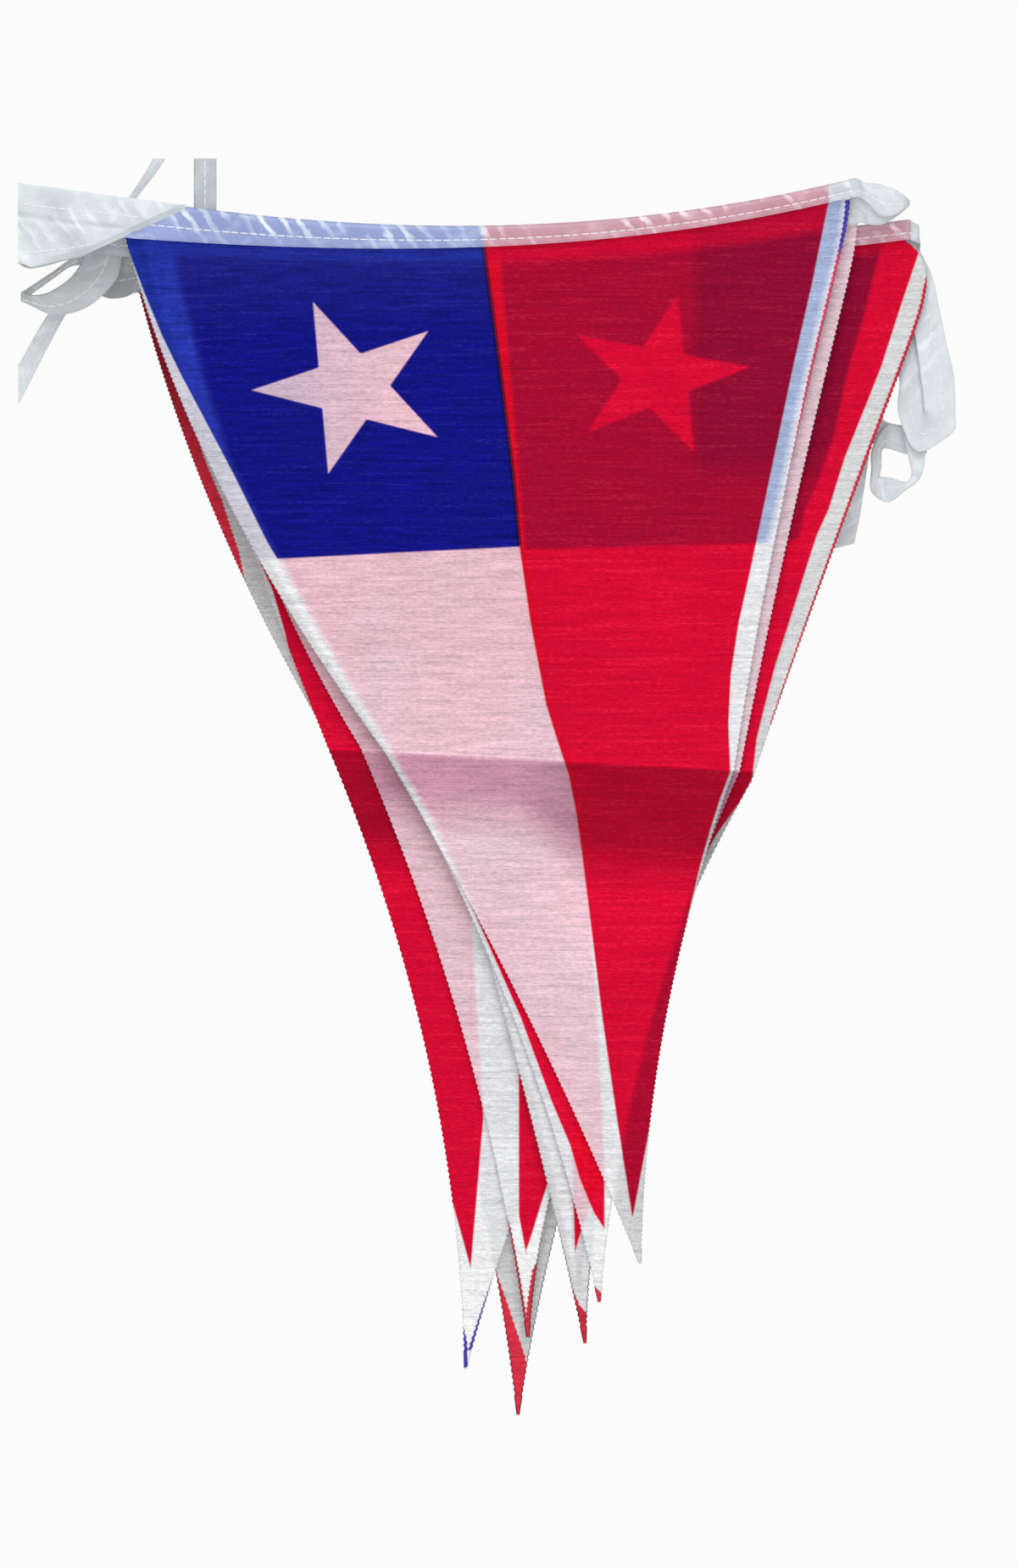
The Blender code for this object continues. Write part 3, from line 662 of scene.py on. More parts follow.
def ribbon_frames(sections):
    """For each section: foot, directions up and to the front, height, grip and length."""
    values = smooth_sections(sections)
    held = HELD_LAYER * LAYER_PITCH

    def place(x, z):
        return np.stack((x, values[:, 4] - held + relief(x, z), z), axis=-1)

    folds, feet = place(values[:, 0], values[:, 1]), place(values[:, 2], values[:, 3])
    middles = (folds + feet) / 2.0
    on = np.empty_like(middles)
    on[1:-1] = middles[2:] - middles[:-2]
    on[0], on[-1] = middles[1] - middles[0], middles[-1] - middles[-2]
    height = np.linalg.norm(folds - feet, axis=1)
    up = (folds - feet) / height[:, None]
    front = np.cross(on, up)
    front /= np.linalg.norm(front, axis=1)[:, None]
    grip = np.clip(values[:, 5], 0.0, 1.0)
    return feet, up, front, height, grip, lengths_along(middles)


def leaf_profile(height, off, pucker):
    """The ribbon's section, from the front leaf's foot over the fold to the back's."""
    arc = min(off, FOLD_ROUND * height)
    rise = height - arc
    leaf = []
    for share in LEAF_SHARES:
        pulled = math.exp(-((share - STITCH_SHARE) / PUCKER_REACH) ** 2)
        leaf.append((-off * (1.0 - PUCKER_DEPTH * pulled * pucker), rise * share))
    turn = [(-off * math.cos(a), rise + arc * math.sin(a))
            for a in (math.radians(30.0 * step) for step in range(1, 6))]
    return leaf + turn + [(-across, high) for across, high in reversed(leaf)]


def ribbon_points(sections):
    """The folded ribbon's grid of points, and its maps of length and height."""
    feet, up, front, height, grip, length = ribbon_frames(sections)
    points, maps = [], []
    for index in range(len(feet)):
        off = mix(LEAF_OFF_LEAF, LEAF_OFF_CLOTH, grip[index])
        pucker = 0.75 + 0.25 * math.sin(2.0 * math.pi * length[index] / PUCKER_PITCH)
        across, lift = np.transpose(leaf_profile(height[index], off, pucker))
        points.append(feet[index] + np.outer(across, front[index])
                      + np.outer(lift, up[index]))
        rise = np.where(across <= 0.0, lift, 2.0 * height[index] - lift)
        maps.append(np.broadcast_arrays(length[index], rise, grip[index], lift,
                                        *cloth_in_ribbon(feet[index], grip[index])))
    return np.array(points), np.moveaxis(np.array(maps), 1, 0)


def cloth_in_ribbon(foot, grip):
    """How far a place in the ribbon lies from its cloth's seam and inside its print."""
    if grip < 0.5:
        return 0.0, NO_CLOTH
    x, y, z = foot
    layer = int(round((y - relief(x, z)) / LAYER_PITCH)) + HELD_LAYER
    side, _, inside = print_places(layer, np.array([x]), np.array([z]))
    return float(side[0]), float(inside[0])


def across_line(line, x):
    """z of a line of points x and z, at places x."""
    return np.interp(x, [point[0] for point in line], [point[1] for point in line])


def opened_depth(x, z):
    """How far back the opened ribbon lies at x and z."""
    foot, furrow = across_line(OPENED_FOOT, x), across_line(OPENED_FURROW, x)
    back = OPENED_LEAN * ease(-26.0, -44.0, x) * ease(0.0, -11.0, z - furrow)
    valley = (FURROW_DEPTH * np.exp(-((z - furrow) / FURROW_WIDTH) ** 2)
              * ease(-18.0, -27.0, x))
    hem = ease(-50.0, -40.0, x) * (0.22 * np.exp(-((z - foot - HEM_LINE) / 0.4) ** 2)
                                   - 0.75 * ease(HEM_LINE - 0.1, 0.0, z - foot))
    swell = 0.35 * np.sin(0.55 * x + 0.35 * z) * ease(-20.0, -30.0, x)
    return OPENED_DEPTH + back + valley - hem + swell


def opened_ribbon():
    """The opened ribbon's grid of points, and its maps."""
    x, share = np.meshgrid(np.linspace(OPENED_TOP[0][0], OPENED_TOP[-1][0], 72),
                           np.linspace(0.0, 1.0, 34), indexing="ij")
    z = mix(across_line(OPENED_FOOT, x), across_line(OPENED_TOP, x), share)
    none = np.zeros_like(x)
    maps = (x, z[:, -1:] - z, none, z - z[:, :1], none, none + NO_CLOTH)
    return np.stack((x, opened_depth(x, z), z), axis=-1), np.stack(maps)


def ribbon_mesh(name, *strips, opened=False):
    """One mesh of one or more lengths of folded ribbon, and of the opened one."""
    grids = [ribbon_points(sections) for sections in strips]
    if opened:
        grids.append(opened_ribbon())
    whole = bmesh.new()
    for points, (run, rise, grip, lift, side, inside) in grids:
        part = sheet_mesh(name, points * MM, {
            "ribbon": (run * MM, rise * MM), "grip": (grip, lift * MM),
            "dyes": (side * MM, inside * MM)})
        whole.from_mesh(part)
        bpy.data.meshes.remove(part)
    mesh = bpy.data.meshes.new(name)
    whole.to_mesh(mesh)
    whole.free()
    return mesh


def upright_sections():
    """The length of ribbon from which the bunch hangs, narrow and straight."""
    held = PENNANTS[HELD_LAYER]
    across = -held.left[0] / (held.right[0] - held.left[0])
    foot = mix(held.left[1], held.right[1], across) - held.sag * arch(across, SAG_SKEW)
    foot += float(tape_height(held, across)) - 0.5
    half = UPRIGHT_WIDTH / 2.0
    depth = HELD_LAYER * LAYER_PITCH
    return [Section((-half, foot * share), (half, foot * share), depth)
            for share in (0.0, 0.25, 0.5, 0.75, 1.0)]


def sew(builder, line, out, up, ribbon):
    """Short rounded stitches along a line of points, which lie on a surface."""
    length = lengths_along(line)
    pitch, radius = ribbon.stitch / MM, ribbon.thread / MM / 2.0
    starts = np.arange(0.3 * pitch, length[-1] - pitch, pitch)

    def at(distances, values):
        return np.stack([np.interp(distances, length, values[:, k]) for k in range(3)],
                        axis=-1)

    rings = []
    turns = np.linspace(0.0, 2.0 * math.pi, STITCH_SIDES, endpoint=False)
    for share, swell, proud in STITCH_RINGS:
        spots = starts + share * STITCH_LENGTH * pitch
        ahead, rise = at(spots, out), at(spots, up)
        centre = at(spots, line) + ahead * radius * proud
        rings.append([centre + radius * swell * (rise * math.cos(turn)
                                                 + 0.5 * ahead * math.sin(turn))
                      for turn in turns])
    for number in range(len(starts)):
        loops = [[builder.verts.new(corner[number] * MM) for corner in ring]
                 for ring in rings]
        for low, high in zip(loops, loops[1:]):
            for k in range(STITCH_SIDES):
                builder.faces.new((low[k - 1], low[k], high[k], high[k - 1]))
        builder.faces.new(loops[0][::-1])
        builder.faces.new(loops[-1])


def stitch_mesh(name, ribbon):
    """The stitches of all the ribbon, on both of its leaves."""
    builder = bmesh.new()
    # Each length of ribbon, how far up its stitches run and how far out they lie
    for sections, share, kept in ((string_sections(), STITCH_SHARE, 1.0 - STITCHED_IN),
                                  (upright_sections(), 0.55, 1.0),
                                  (SLANTING_RIBBON, 0.5, 1.0)):
        feet, up, front, height, grip, _ = ribbon_frames(sections)
        off = mix(LEAF_OFF_LEAF, LEAF_OFF_CLOTH, grip)
        lift = share * (height - np.minimum(off, FOLD_ROUND * height))
        for side in (1.0, -1.0):
            line = feet + up * lift[:, None] - side * front * (off * kept)[:, None]
            sew(builder, line, -side * front, up, ribbon)
    for path in OPENED_STITCHES:
        x = np.linspace(path[0][0], path[-1][0], 40)
        z = across_line(path, x)
        line = np.stack((x, opened_depth(x, z), z), axis=-1)
        front, up = (np.full_like(line, way) for way in ((0, -1, 0), (0, 0, 1)))
        sew(builder, line, front, up, ribbon)
    bmesh.ops.recalc_face_normals(builder, faces=builder.faces)
    mesh = bpy.data.meshes.new(name)
    builder.to_mesh(mesh)
    builder.free()
    return mesh


# Finishes

# The undyed cloth's colour over what lies behind it
BARE_OVER_RED = (0.835, 0.530, 0.615)
BARE_OVER_RED_PAINTED_SHADE = (0.780, 0.390, 0.530)        # painted shade under the crease
BARE_OVER_BLUE = (0.390, 0.470, 0.700)
BARE_ALONE = (0.900, 0.905, 0.915)
BARE_LOW_LEFT = (0.500, 0.460, 0.600)            # the front pennant's left strip, low down
# Dyes on the cloth
SEAM_OVERLAP = (0.035, 0.000, 0.030)
FRONT_RED_RUN = (0.620, 0.030, 0.100)
RED_RUN = (0.560, 0.001, 0.026)
BLUE_RUN = (0.012, 0.050, 0.420)
FLECK = (0.900, 0.750, 0.850)
# What the next layer's print leaves of the light that comes through a dye
RED_BEHIND_DYE = (1.0, 0.50, 0.42)
RED_BEHIND_BLUE = (0.20, 0.15, 0.60)
BLUE_BEHIND_DYE = (0.40, 1.0, 0.90)
NOTHING_BEHIND_DYE = (0.62, 0.80, 0.80)
# Painted glints on the satin
GLINT = (0.86, 0.93, 0.98)
GLINT_OVER_RED = (0.98, 0.86, 0.90)

# How fast the cloth's unevenness changes, across and up, in steps to a metre
GRAIN = (620.0, 2000.0)
SLUBS = (60.0, 1300.0)
CRINKLE = (100.0, 800.0)
CLOUD = (28.0, 22.0)
# And the satin's, along and up
SATIN_CLOUD = (90.0, 90.0)
SATIN_DRIFT = (140.0, 160.0)
SATIN_PATCH = (60.0, 90.0)

# Widths of soft steps on the cloth, in metres
PRINT_EDGE = 0.0005
EDGE_BEHIND = 0.0011
FRONT_MARGIN_BEHIND = 0.0026
CUT_EDGE_BEHIND = 0.0016
RUN_EDGE = 0.0004


def reckoning(operation, swapped=False):
    """A method that joins a wire and another value by an operation."""
    def apply(self, other):
        return self.math(operation, *((other, self) if swapped else (self, other)))
    return apply


class Wire:
    """One value in a material's node tree, on which plain arithmetic can be done."""
    __add__ = __radd__ = reckoning("ADD")
    __sub__, __rsub__ = reckoning("SUBTRACT"), reckoning("SUBTRACT", swapped=True)
    __mul__ = __rmul__ = reckoning("MULTIPLY")
    __truediv__ = reckoning("DIVIDE")

    def __init__(self, tree, socket):
        self.tree, self.socket = tree, socket

    def math(self, operation, *values, clamp=False):
        node = self.tree.nodes.new("ShaderNodeMath")
        node.operation, node.use_clamp = operation, clamp
        for slot, value in zip(node.inputs, values):
            feed(self.tree, slot, value)
        return Wire(self.tree, node.outputs[0])

    def __neg__(self):
        return self * -1.0

    def __abs__(self):
        return self.math("ABSOLUTE", self)

    def sine(self):
        return self.math("SINE", self)

    def clamped(self):
        return self.math("ADD", self, 0.0, clamp=True)

    def above(self, soft):
        """0 below zero and 1 above it, with a soft step as wide as given."""
        return self.math("MULTIPLY_ADD", self, 1.0 / soft, 0.5, clamp=True)


def feed(tree, slot, value):
    """Set a socket to a number or colour, or link it to a wire."""
    if isinstance(value, Wire):
        tree.links.new(value.socket, slot)
    else:
        slot.default_value = value


def colour(value):
    return value if isinstance(value, Wire) else (*tuple(value)[:3], 1.0)


class Finish:
    """A material in the making."""

    def __init__(self, name):
        self.material = bpy.data.materials.new(name)
        self.material.use_nodes = True
        self.tree = self.material.node_tree
        self.tree.nodes.clear()

    def node(self, kind, settings=None, inputs=None, output=0):
        """Any node: its settings first, then its sockets' values or wires."""
        node = self.tree.nodes.new(kind)
        for key, value in (settings or {}).items():
            setattr(node, key, value)
        for key, value in (inputs or {}).items():
            feed(self.tree, node.inputs[key], value)
        return Wire(self.tree, node.outputs[output])

    def parts(self, vector):
        """The x and y of a vector."""
        x = self.node("ShaderNodeSeparateXYZ", inputs={0: vector})
        return x, Wire(self.tree, x.socket.node.outputs[1])

    def map(self, title):
        """The two values of one of the mesh's maps."""
        return self.parts(self.node("ShaderNodeUVMap", {"uv_map": title}))

    def place(self):
        """Where a point lies on the piece, in metres."""
        return self.node("ShaderNodeTexCoord", output=3)

    def blend(self, share, one, other, how="MIX"):
        """A colour between two, or by another way of blending them."""
        return self.node("ShaderNodeMix", {"data_type": "RGBA", "blend_type": how},
                         {0: share, 6: colour(one), 7: colour(other)}, 2)

    def coats(self, base, *coats):
        """A base colour under coats of others, each with its share."""
        for share, tone in coats:
            base = self.blend(share, base, tone)
        return base

    def shaded(self, one, share):
        """A colour made lighter or darker."""
        return self.node("ShaderNodeVectorMath", {"operation": "SCALE"},
                         {0: one, "Scale": share})

    def noise(self, spot, detail=2.0, rough=0.5, scale=1.0):
        """Smooth uneven values around 0.5."""
        return self.node("ShaderNodeTexNoise", {"noise_dimensions": "3D"},
                         {"Vector": spot, "Scale": scale, "Detail": detail,
                          "Roughness": rough})

    def uneven(self, x, y, rate, seed, detail=2.0, rough=0.5):
        """Noise over two directions, at a rate of change in each."""
        spot = self.node("ShaderNodeCombineXYZ",
                         inputs={0: x * rate[0], 1: y * rate[1], 2: seed})
        return self.noise(spot, detail, rough)

    def bump(self, height, strength, distance):
        return self.node("ShaderNodeBump", inputs={"Strength": strength, "Height": height,
                                                   "Distance": distance})

    def surface(self, **sockets):
        """Finish with a Principled shader, given its sockets by name."""
        names = {title.replace("_", " "): value for title, value in sockets.items()}
        shader = self.node("ShaderNodeBsdfPrincipled", inputs=names)
        out = self.tree.nodes.new("ShaderNodeOutputMaterial")
        self.tree.links.new(shader.socket, out.inputs["Surface"])
        return self.material


class Polyester(Finish):
    """Sheer woven cloth with its dyes, through which the next layer's print shows."""

    def __init__(self, layer, cloth):
        super().__init__(f"printed polyester {layer + 1}")
        self.layer, self.cloth, self.marks = layer, cloth, PRINTS[layer]
        self.side, self.height = self.map("print")
        self.across, self.up = self.map("hang")
        inside, next_inside = self.map("margins")
        self.cut, run = self.map("edges")
        self.beyond, next_cloth = self.map("next layer")

        margin = FRONT_MARGIN_BEHIND if layer == 0 else EDGE_BEHIND
        self.red, self.blue = self.dyes("print", layer, PRINT_EDGE,
                                        inside.above(PRINT_EDGE))
        self.next_red, self.next_blue = self.dyes("next print", neighbour(layer),
                                                  EDGE_BEHIND, next_inside.above(margin))
        self.alone = (-next_cloth).above(CUT_EDGE_BEHIND)
        self.run = run.above(RUN_EDGE)
        self.dye = (self.red + self.blue + self.run).clamped()
        self.rim = (0.0003 - self.cut).above(0.0002)

        # Threads, and the slubs and crinkles that run along the weft
        pitch = 2.0 * math.pi / cloth.thread
        self.weft = (self.up * pitch).sine()
        self.warp = (self.across * (pitch / 0.8)).sine()
        place, seed = (self.across, self.up), 3.0 * layer
        self.grain = self.uneven(*place, GRAIN, seed, rough=0.7)
        self.slubs = self.uneven(*place, SLUBS, seed + 0.5, rough=0.6)
        self.crinkle = self.uneven(*place, CRINKLE, seed + 1.0, 3.0, 0.6)
        self.cloud = self.uneven(*place, CLOUD, seed + 2.0)

        # Painted shade under the crease, deeper to the right, where the cloth is slack
        self.below = CREASE_HEIGHT * MM + CREASE_SLOPE * self.across - self.up
        slack_from = 0.098 if layer < 5 else -0.1
        self.slack = (self.across - slack_from).above(0.020)
        reach = 0.016 + 0.013 * self.slack
        self.under = self.below.above(0.0012) * (1.0 - (self.below - reach).above(0.014))

    def dyes(self, title, layer, soft, inside):
        """Shares of red and of blue dye that a layer's print puts on the cloth."""
        side, height = self.map(title)
        red_half = side.above(soft)
        field = (1.0 - red_half) * height.above(soft) * inside
        return red_half * inside, field * (1.0 - self.star(layer, soft))

    def star(self, layer, soft):
        """The five-pointed star in a layer's canton: where four of five sides agree."""
        x, z, *lie = PRINTS[layer].star
        east, north = self.across / MM - x, self.up / MM - z
        across, up = east * lie[0] + north * lie[1], east * lie[2] + north * lie[3]
        reach = math.cos(math.radians(72.0))
        agreed = -3.0
        for angle in (math.radians(180.0 + 72.0 * point) for point in range(5)):
            ahead = across * math.cos(angle) + up * math.sin(angle)
            agreed = (reach - ahead).above(soft * 38.0) + agreed
        return agreed.clamped()

    def bare_cloth(self):
        """The colour of the cloth where nothing is printed on it, with its painted shade.
        """
        left_light, right_light, alone_light = self.marks.white
        rightward = (self.side if self.layer % 2 == 0 else -self.side).above(0.002)
        white = self.shaded(tuple(self.cloth.white),
                            left_light + (right_light - left_light) * rightward)
        near = 0.42 + 0.80 * self.cloud + 0.20 * (self.up + 0.160).above(0.050)
        if self.layer == 1:
            near = near * (1.0 - 0.35 * rightward)
        white = self.coats(white, (self.next_red * near.clamped(), BARE_OVER_RED),
                           (self.next_red * self.under, BARE_OVER_RED_PAINTED_SHADE),
                           (self.next_blue, BARE_OVER_BLUE),
                           (self.alone, [part * alone_light for part in BARE_ALONE]))
        if self.layer == 0:
            low_left = (0.036 - self.across).above(0.030) * self.height.above(0.001)
            white = self.blend(0.6 * low_left, white, BARE_LOW_LEFT)
        return white

    def printed(self, base):
        """The dyes on it, the print's overlap at the seam and the runs at the edges."""
        overlap = (1.6 * (1.0 - abs(self.side) / 0.0009)).clamped()
        blue_run = self.run * (self.up - self.marks.blue_above * MM).above(0.004)
        return self.coats(base, (self.red, self.cloth.red), (self.blue, self.cloth.blue),
                          (0.85 * overlap * self.height.above(0.001), SEAM_OVERLAP),
                          (0.96 * self.run, FRONT_RED_RUN if self.layer == 0 else RED_RUN),
                          (0.92 * blue_run, BLUE_RUN))

    def tint(self):
        """What the next layer's print leaves of the light that comes through the dyes."""
        close = (0.80 + 0.40 * self.cloud) * (1.0 - 0.8 * self.beyond.above(0.0030))
        if self.layer in (0, 2):       # pressed together at the top right
            close = close + 0.38 * ((self.across - 0.138).above(0.004)
                                    * (self.up + 0.088).above(0.010))
        strength = self.dye * close * self.cloth.show_through
        in_blue = self.blue * close * (1.0 - 0.5 * (self.up + 0.040).above(0.024))
        tint = self.coats((1.0, 1.0, 1.0),
                          ((self.next_red * strength).clamped(), RED_BEHIND_DYE),
                          ((self.next_red * in_blue).clamped(), RED_BEHIND_BLUE),
                          (self.next_blue * strength, BLUE_BEHIND_DYE))
        if self.layer == 0:
            tint = self.blend(self.alone * self.dye, tint, NOTHING_BEHIND_DYE)
        return tint

    def light(self):
        """How light the cloth is painted, with painted shade and highlights at its crease.
        """
        rows = (1.0 - 0.35 * self.red + 1.3 * self.blue) * (0.25 + 1.2 * self.cloud)
        light = (1.0 + 0.9 * (self.grain - 0.5) + 0.24 * (self.cloud - 0.5)
                 + (0.40 + 0.1 * self.dye) * (self.slubs - 0.5)
                 + 0.70 * rows * (self.crinkle - 0.5)
                 + 0.06 * self.weft + 0.08 * self.warp)
        # Painted light: dyes lighter where light comes through them from behind
        light = light * (1.0 + (self.marks.lit - 1.0) * self.dye)
        if self.layer == 6:            # painted shade near the top
            light = light * (1.0 - 0.5 * (self.up + 0.072).above(0.030))
        # Painted shade under the crease, and a painted highlight below it where the cloth
        # is slack
        swell = (1.0 - abs(self.below - 0.042) / 0.022).clamped() * self.slack
        light = light * (1.0 - self.under * (0.20 + 0.22 * self.slack) + 0.10 * swell)
        # Darker along the cut edges
        edge = 1.0 - 0.22 * self.rim
        if self.layer in (2, 4, 6):    # painted shade where the edge rolls in near the tip
            edge = edge - 0.5 * self.rim * (-0.302 - self.up).above(0.010)
        # A painted highlight along the crease line
        ridge = (1.0 - abs(self.below + 0.0005) / 0.0006).clamped() * (0.2 + self.cloud)
        return light * edge + 0.30 * ridge

    def made(self):
        base = self.blend(1.0, self.printed(self.bare_cloth()), self.tint(), "MULTIPLY")
        flecks = ((self.slubs + self.grain - 1.06) * 4.0).clamped() * self.dye
        base = self.shaded(self.blend(0.010 * flecks, base, FLECK), self.light())
        bare = self.marks.body + 0.12 * (self.slubs - 0.5) + 0.10 * (self.crinkle - 0.5)
        body = bare + (self.dye + self.alone).clamped() * (self.cloth.dyed_body - bare)
        height = (0.34 * self.crinkle + 0.22 * self.slubs + 0.10 * self.grain
                  + 0.05 * self.weft + 0.04 * self.warp)
        return self.surface(Base_Color=base, Roughness=0.50 + 0.2 * self.crinkle,
                            Alpha=(body + 0.2 * self.rim).clamped(),
                            Normal=self.bump(height, 0.7, 0.0006),
                            Specular_IOR_Level=0.04, Sheen_Weight=0.01,
                            Sheen_Roughness=0.45)


def satin(name, ribbon, shade):
    """White satin with fine ribs, small slanting creases and painted glints.

    The lengths that hang behind the bunch at its left get painted shade, as strong as the
    shade given.
    """
    finish = Finish(name)
    run, rise = finish.map("ribbon")
    grip, lift = finish.map("grip")
    side, inside = finish.map("dyes")
    turn = 2.0 * math.pi
    ribs = (rise * (turn / 0.0006)).sine()
    cross_ribs = (run * (turn / 0.00055)).sine() * (0.0030 - lift).above(0.0006)
    cloud = finish.uneven(run, rise, SATIN_CLOUD, 4.0)
    drift = finish.uneven(run, rise, SATIN_DRIFT, 9.0, rough=0.6)
    patch = finish.uneven(run, rise, SATIN_PATCH, 2.0, detail=1.0)
    patch = ((patch - 0.39) * 5.0).clamped()
    # Painted glints: small slanting ones, and broad soft ones, most on loose ribbon
    slant = ((run - rise * 0.75 + 0.006 * drift) * (turn / 0.0058)).sine()
    glint = ((slant - 0.25) * 1.6).clamped() * patch * (0.3 + 1.5 * drift)
    glint = glint * (0.35 + 0.65 * (lift - 0.0030).above(0.0012)) * (0.45 + 0.55 * grip)
    broad = finish.uneven(run * 130.0 - lift * 60.0, lift, (1.0, 190.0), 14.0, detail=1.0)
    glint = (glint + ((broad - 0.54) * 5.0).clamped() * (0.55 - 0.25 * grip)).clamped()

    # The dyes of the cloth inside tint the light that comes back through the satin
    dyes = inside.above(0.0008) * grip
    red = dyes * side.above(0.0008)
    base = finish.coats(ribbon.satin, (dyes, ribbon.over_blue), (red, ribbon.over_red))
    light = (0.95 + 0.30 * (cloud - 0.5) + 0.03 * ribs + 0.05 * cross_ribs * grip
             - 0.08 * (0.0006 - lift).above(0.0003))
    # Painted shade on the lengths behind the bunch at its left
    x, y = finish.parts(finish.place())
    behind = (0.004 - x).above(0.002) * (y + 0.002).above(0.002)
    light = light * (1.0 - shade * behind * (0.12 + 14.0 * y
                                             + 0.16 * (x + 0.004).above(0.001)))
    shine = finish.blend(red, GLINT, GLINT_OVER_RED)
    base = finish.shaded(finish.blend((glint * 0.85).clamped(), base, shine), light)
    height = slant * patch * 0.16 + 0.03 * ribs + 0.3 * cloud
    body = (ribbon.loose_body + grip * (ribbon.body - ribbon.loose_body)
            + 0.25 * glint + 0.16 * (cloud - 0.5))
    return finish.surface(Base_Color=base, Roughness=0.30 + 0.14 * cloud,
                          Alpha=body.clamped(), Normal=finish.bump(height, 0.6, 0.0008),
                          Specular_IOR_Level=0.4, Sheen_Weight=0.05)


def sewing_thread(ribbon):
    """Twisted white thread."""
    finish = Finish("sewing thread")
    twist = finish.noise(finish.place(), scale=2600.0)
    base = finish.shaded(finish.blend(twist, ribbon.thread_colour, (0.78, 0.80, 0.83)),
                         0.9 + 0.2 * twist)
    return finish.surface(Base_Color=base, Roughness=0.45 + 0.2 * twist,
                          Normal=finish.bump(twist, 0.4, 0.0002))


def pale_paper(tone):
    """The floor's plain matt paper."""
    finish = Finish("pale paper")
    grain = finish.noise(finish.place(), 3.0, scale=180.0)
    return finish.surface(Base_Color=finish.shaded(tuple(tone), 0.98 + 0.04 * grain),
                          Roughness=0.85 + 0.1 * grain)


# Stage

AIM = Vector((0.0856, 0.0, -0.1765))
# Each lamp's name, its place from the aim, its side and its power in watts
LAMPS = (
    ("key", (-0.05, -1.35, 1.8), 1.6, 25.0),
    ("fill", (0.0, -2.2, 0.1), 2.0, 23.0),
    ("back", (0.3, 2.0, 0.6), 1.6, 24.0),
)


def aimed(name, data, offset):
    """Put a lamp or a camera in the scene, at an offset from the aim and turned to it."""
    item = bpy.data.objects.new(name, data)
    item.location = AIM + offset
    item.rotation_mode = "QUATERNION"
    item.rotation_quaternion = (-offset).to_track_quat("-Z", "Y")
    bpy.context.scene.collection.objects.link(item)
    return item


def lay_floor(side, level, tone):
    low, high = CAD_BOX
    middle, half = (low + high) / 2.0, side / 2.0
    mesh = bpy.data.meshes.new("floor")
    mesh.from_pydata([(middle.x + half * a, middle.y + half * b, level)
                      for a, b in ((-1, -1), (1, -1), (1, 1), (-1, 1))],
                     [], [(0, 1, 2, 3)])
    mesh.materials.append(pale_paper(tone))
    floor = bpy.data.objects.new("floor", mesh)
    bpy.context.scene.collection.objects.link(floor)


def pale_air(tone, strength):
    """A world that looks as bright as paper and gives light of a strength of its own."""
    world = bpy.data.worlds.new("pale air")
    world.use_nodes = True
    nodes, links = world.node_tree.nodes, world.node_tree.links
    air, seen = nodes["Background"], nodes.new("ShaderNodeLightPath")
    level = nodes.new("ShaderNodeMapRange")
    level.inputs["To Min"].default_value = strength
    level.inputs["To Max"].default_value = 1.0
    links.new(seen.outputs["Is Camera Ray"], level.inputs["Value"])
    links.new(level.outputs["Result"], air.inputs["Strength"])
    air.inputs["Color"].default_value = colour(tone)
    return world


# Operators

class BUNTING_OT_pennants(bpy.types.Operator):
    """Add the seven printed pennants"""
    bl_idname = "bunting.pennants"
    bl_label = "Add Pennants"

    def execute(self, context):
        cloth = context.scene.bunting_cloth
        for layer in range(len(PENNANTS)):
            piece = add_piece(f"cloth_{layer + 1}", pennant_mesh(layer, cloth),
                              Polyester(layer, cloth).made(),
                              f"pennant_{layer + 1}")
        return {"FINISHED"}


class BUNTING_OT_ribbon(bpy.types.Operator):
    """Add the folded ribbon with its loops and the upright length"""
    bl_idname = "bunting.ribbon"
    bl_label = "Add Ribbon"

    def execute(self, context):
        finish = satin("satin ribbon", context.scene.bunting_ribbon, 1.0)
        mesh = ribbon_mesh("ribbon", string_sections(), upright_sections(), opened=True)
        piece = add_piece("ribbon", mesh, finish, "tape")
        return {"FINISHED"}


class BUNTING_OT_slanting_ribbon(bpy.types.Operator):
    """Add the second length of ribbon, behind the bunch"""
    bl_idname = "bunting.slanting_ribbon"
    bl_label = "Add Slanting Ribbon"

    def execute(self, context):
        finish = satin("slanting satin", context.scene.bunting_ribbon, 0.0)
        mesh = ribbon_mesh("slanting ribbon", SLANTING_RIBBON)
        piece = add_piece("slanting_ribbon", mesh, finish,
                          "slanting_tape")
        return {"FINISHED"}


class BUNTING_OT_stitches(bpy.types.Operator):
    """Add the stitches that close the ribbon over the cloth"""
    bl_idname = "bunting.stitches"
    bl_label = "Add Stitches"

    def execute(self, context):
        ribbon = context.scene.bunting_ribbon
        add_piece("stitches", stitch_mesh("stitches", ribbon), sewing_thread(ribbon),
                  None)
        return {"FINISHED"}


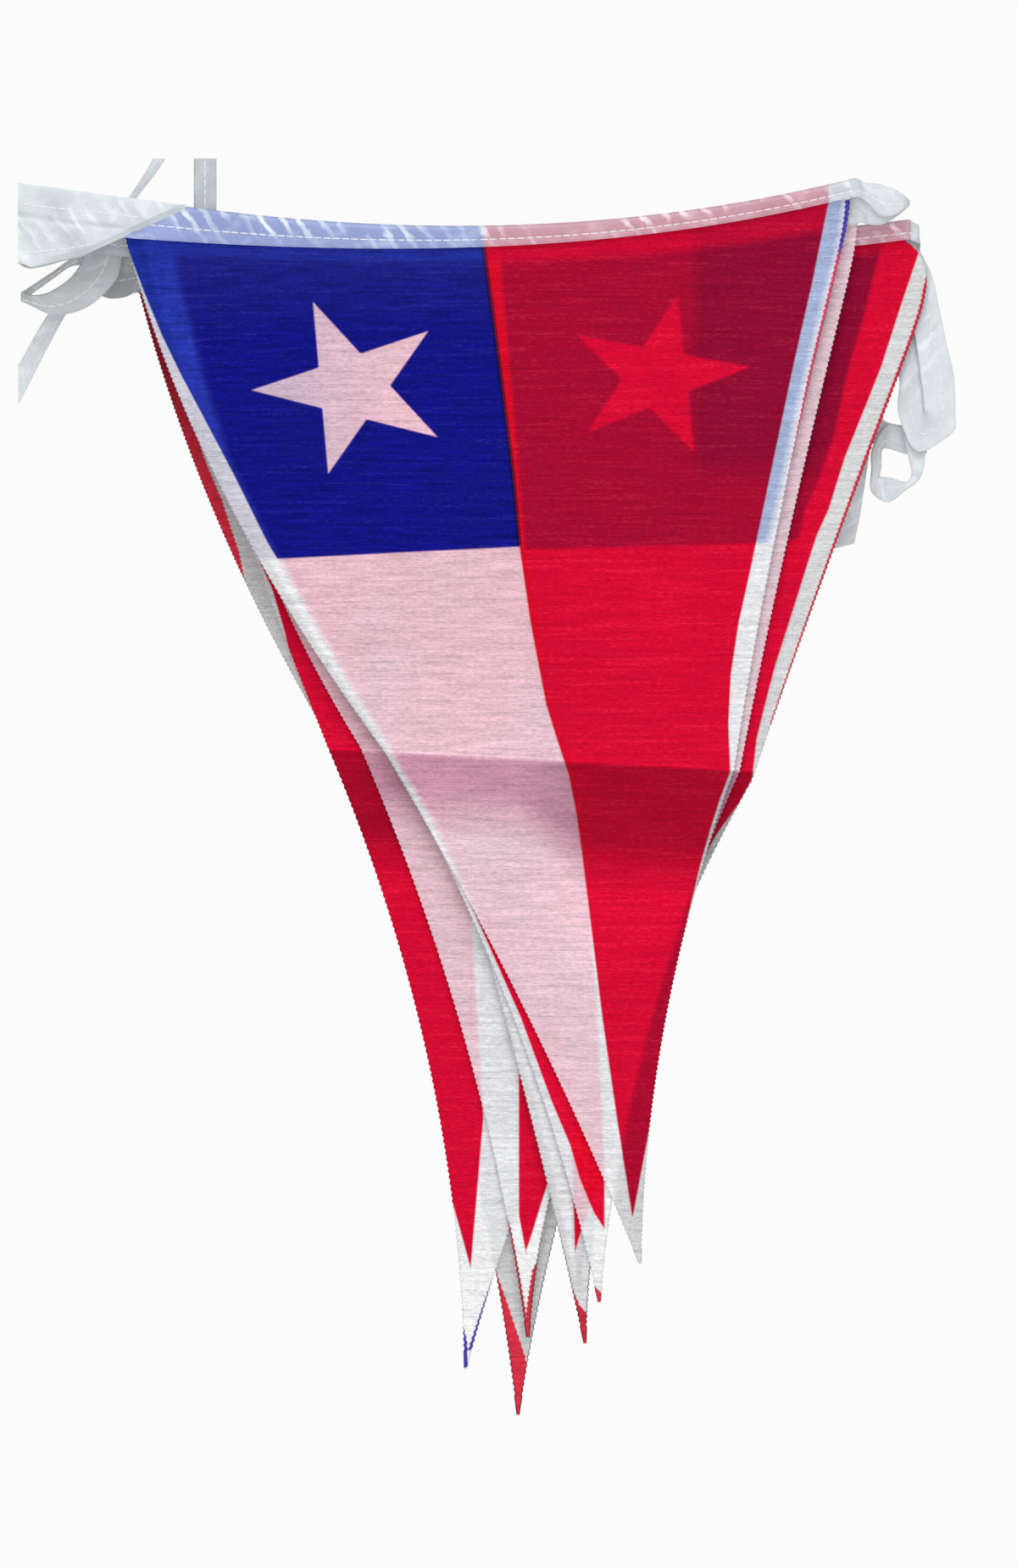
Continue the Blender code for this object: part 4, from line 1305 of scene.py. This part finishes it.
class BUNTING_OT_stage(bpy.types.Operator):
    """Add the floor, the lights and the camera"""
    bl_idname = "bunting.stage"
    bl_label = "Add Stage"

    def execute(self, context):
        scene, stage = context.scene, context.scene.bunting_stage
        lay_floor(stage.floor_size, CAD_BOX[0].z - stage.drop, stage.tone)
        scene.world = pale_air(stage.tone, stage.air)
        scene.view_settings.view_transform = "Standard"
        for name, offset, side, power in LAMPS:
            lamp = bpy.data.lights.new(name, "AREA")
            lamp.size, lamp.energy = side, power
            aimed(name, lamp, Vector(offset))
        camera = bpy.data.cameras.new("camera")
        camera.lens, camera.sensor_width, camera.clip_start = stage.lens, 36.0, 0.05
        scene.camera = aimed("camera", camera, Vector((0.0, -stage.distance, 0.0)))
        return {"FINISHED"}


class BUNTING_PT_panel(bpy.types.Panel):
    """The bunting's settings and pieces"""
    bl_idname = "BUNTING_PT_panel"
    bl_label = "Fabric Bunting"
    bl_space_type = "VIEW_3D"
    bl_region_type = "UI"
    bl_category = "Bunting"

    def draw(self, context):
        scene = context.scene
        for group in (scene.bunting_cloth, scene.bunting_ribbon, scene.bunting_stage):
            box = self.layout.box()
            for name in group.bl_rna.properties.keys():
                if name not in {"rna_type", "name"}:
                    box.prop(group, name)
        for operator in OPERATORS:
            self.layout.operator(operator.bl_idname)


GROUPS = {"bunting_cloth": BuntingCloth, "bunting_ribbon": BuntingRibbon,
          "bunting_stage": BuntingStage}
OPERATORS = (BUNTING_OT_stage, BUNTING_OT_pennants, BUNTING_OT_ribbon,
             BUNTING_OT_slanting_ribbon, BUNTING_OT_stitches)


def register():
    for name, group in GROUPS.items():
        bpy.utils.register_class(group)
        setattr(bpy.types.Scene, name, PointerProperty(type=group))
    for operator in OPERATORS:
        bpy.utils.register_class(operator)
    bpy.utils.register_class(BUNTING_PT_panel)


def unregister():
    bpy.utils.unregister_class(BUNTING_PT_panel)
    for operator in reversed(OPERATORS):
        bpy.utils.unregister_class(operator)
    for name, group in reversed(GROUPS.items()):
        delattr(bpy.types.Scene, name)
        bpy.utils.unregister_class(group)


def main():
    register()
    bpy.ops.bunting.stage()
    bpy.ops.bunting.pennants()
    bpy.ops.bunting.ribbon()
    bpy.ops.bunting.slanting_ribbon()
    bpy.ops.bunting.stitches()


if __name__ == "__main__":
    main()
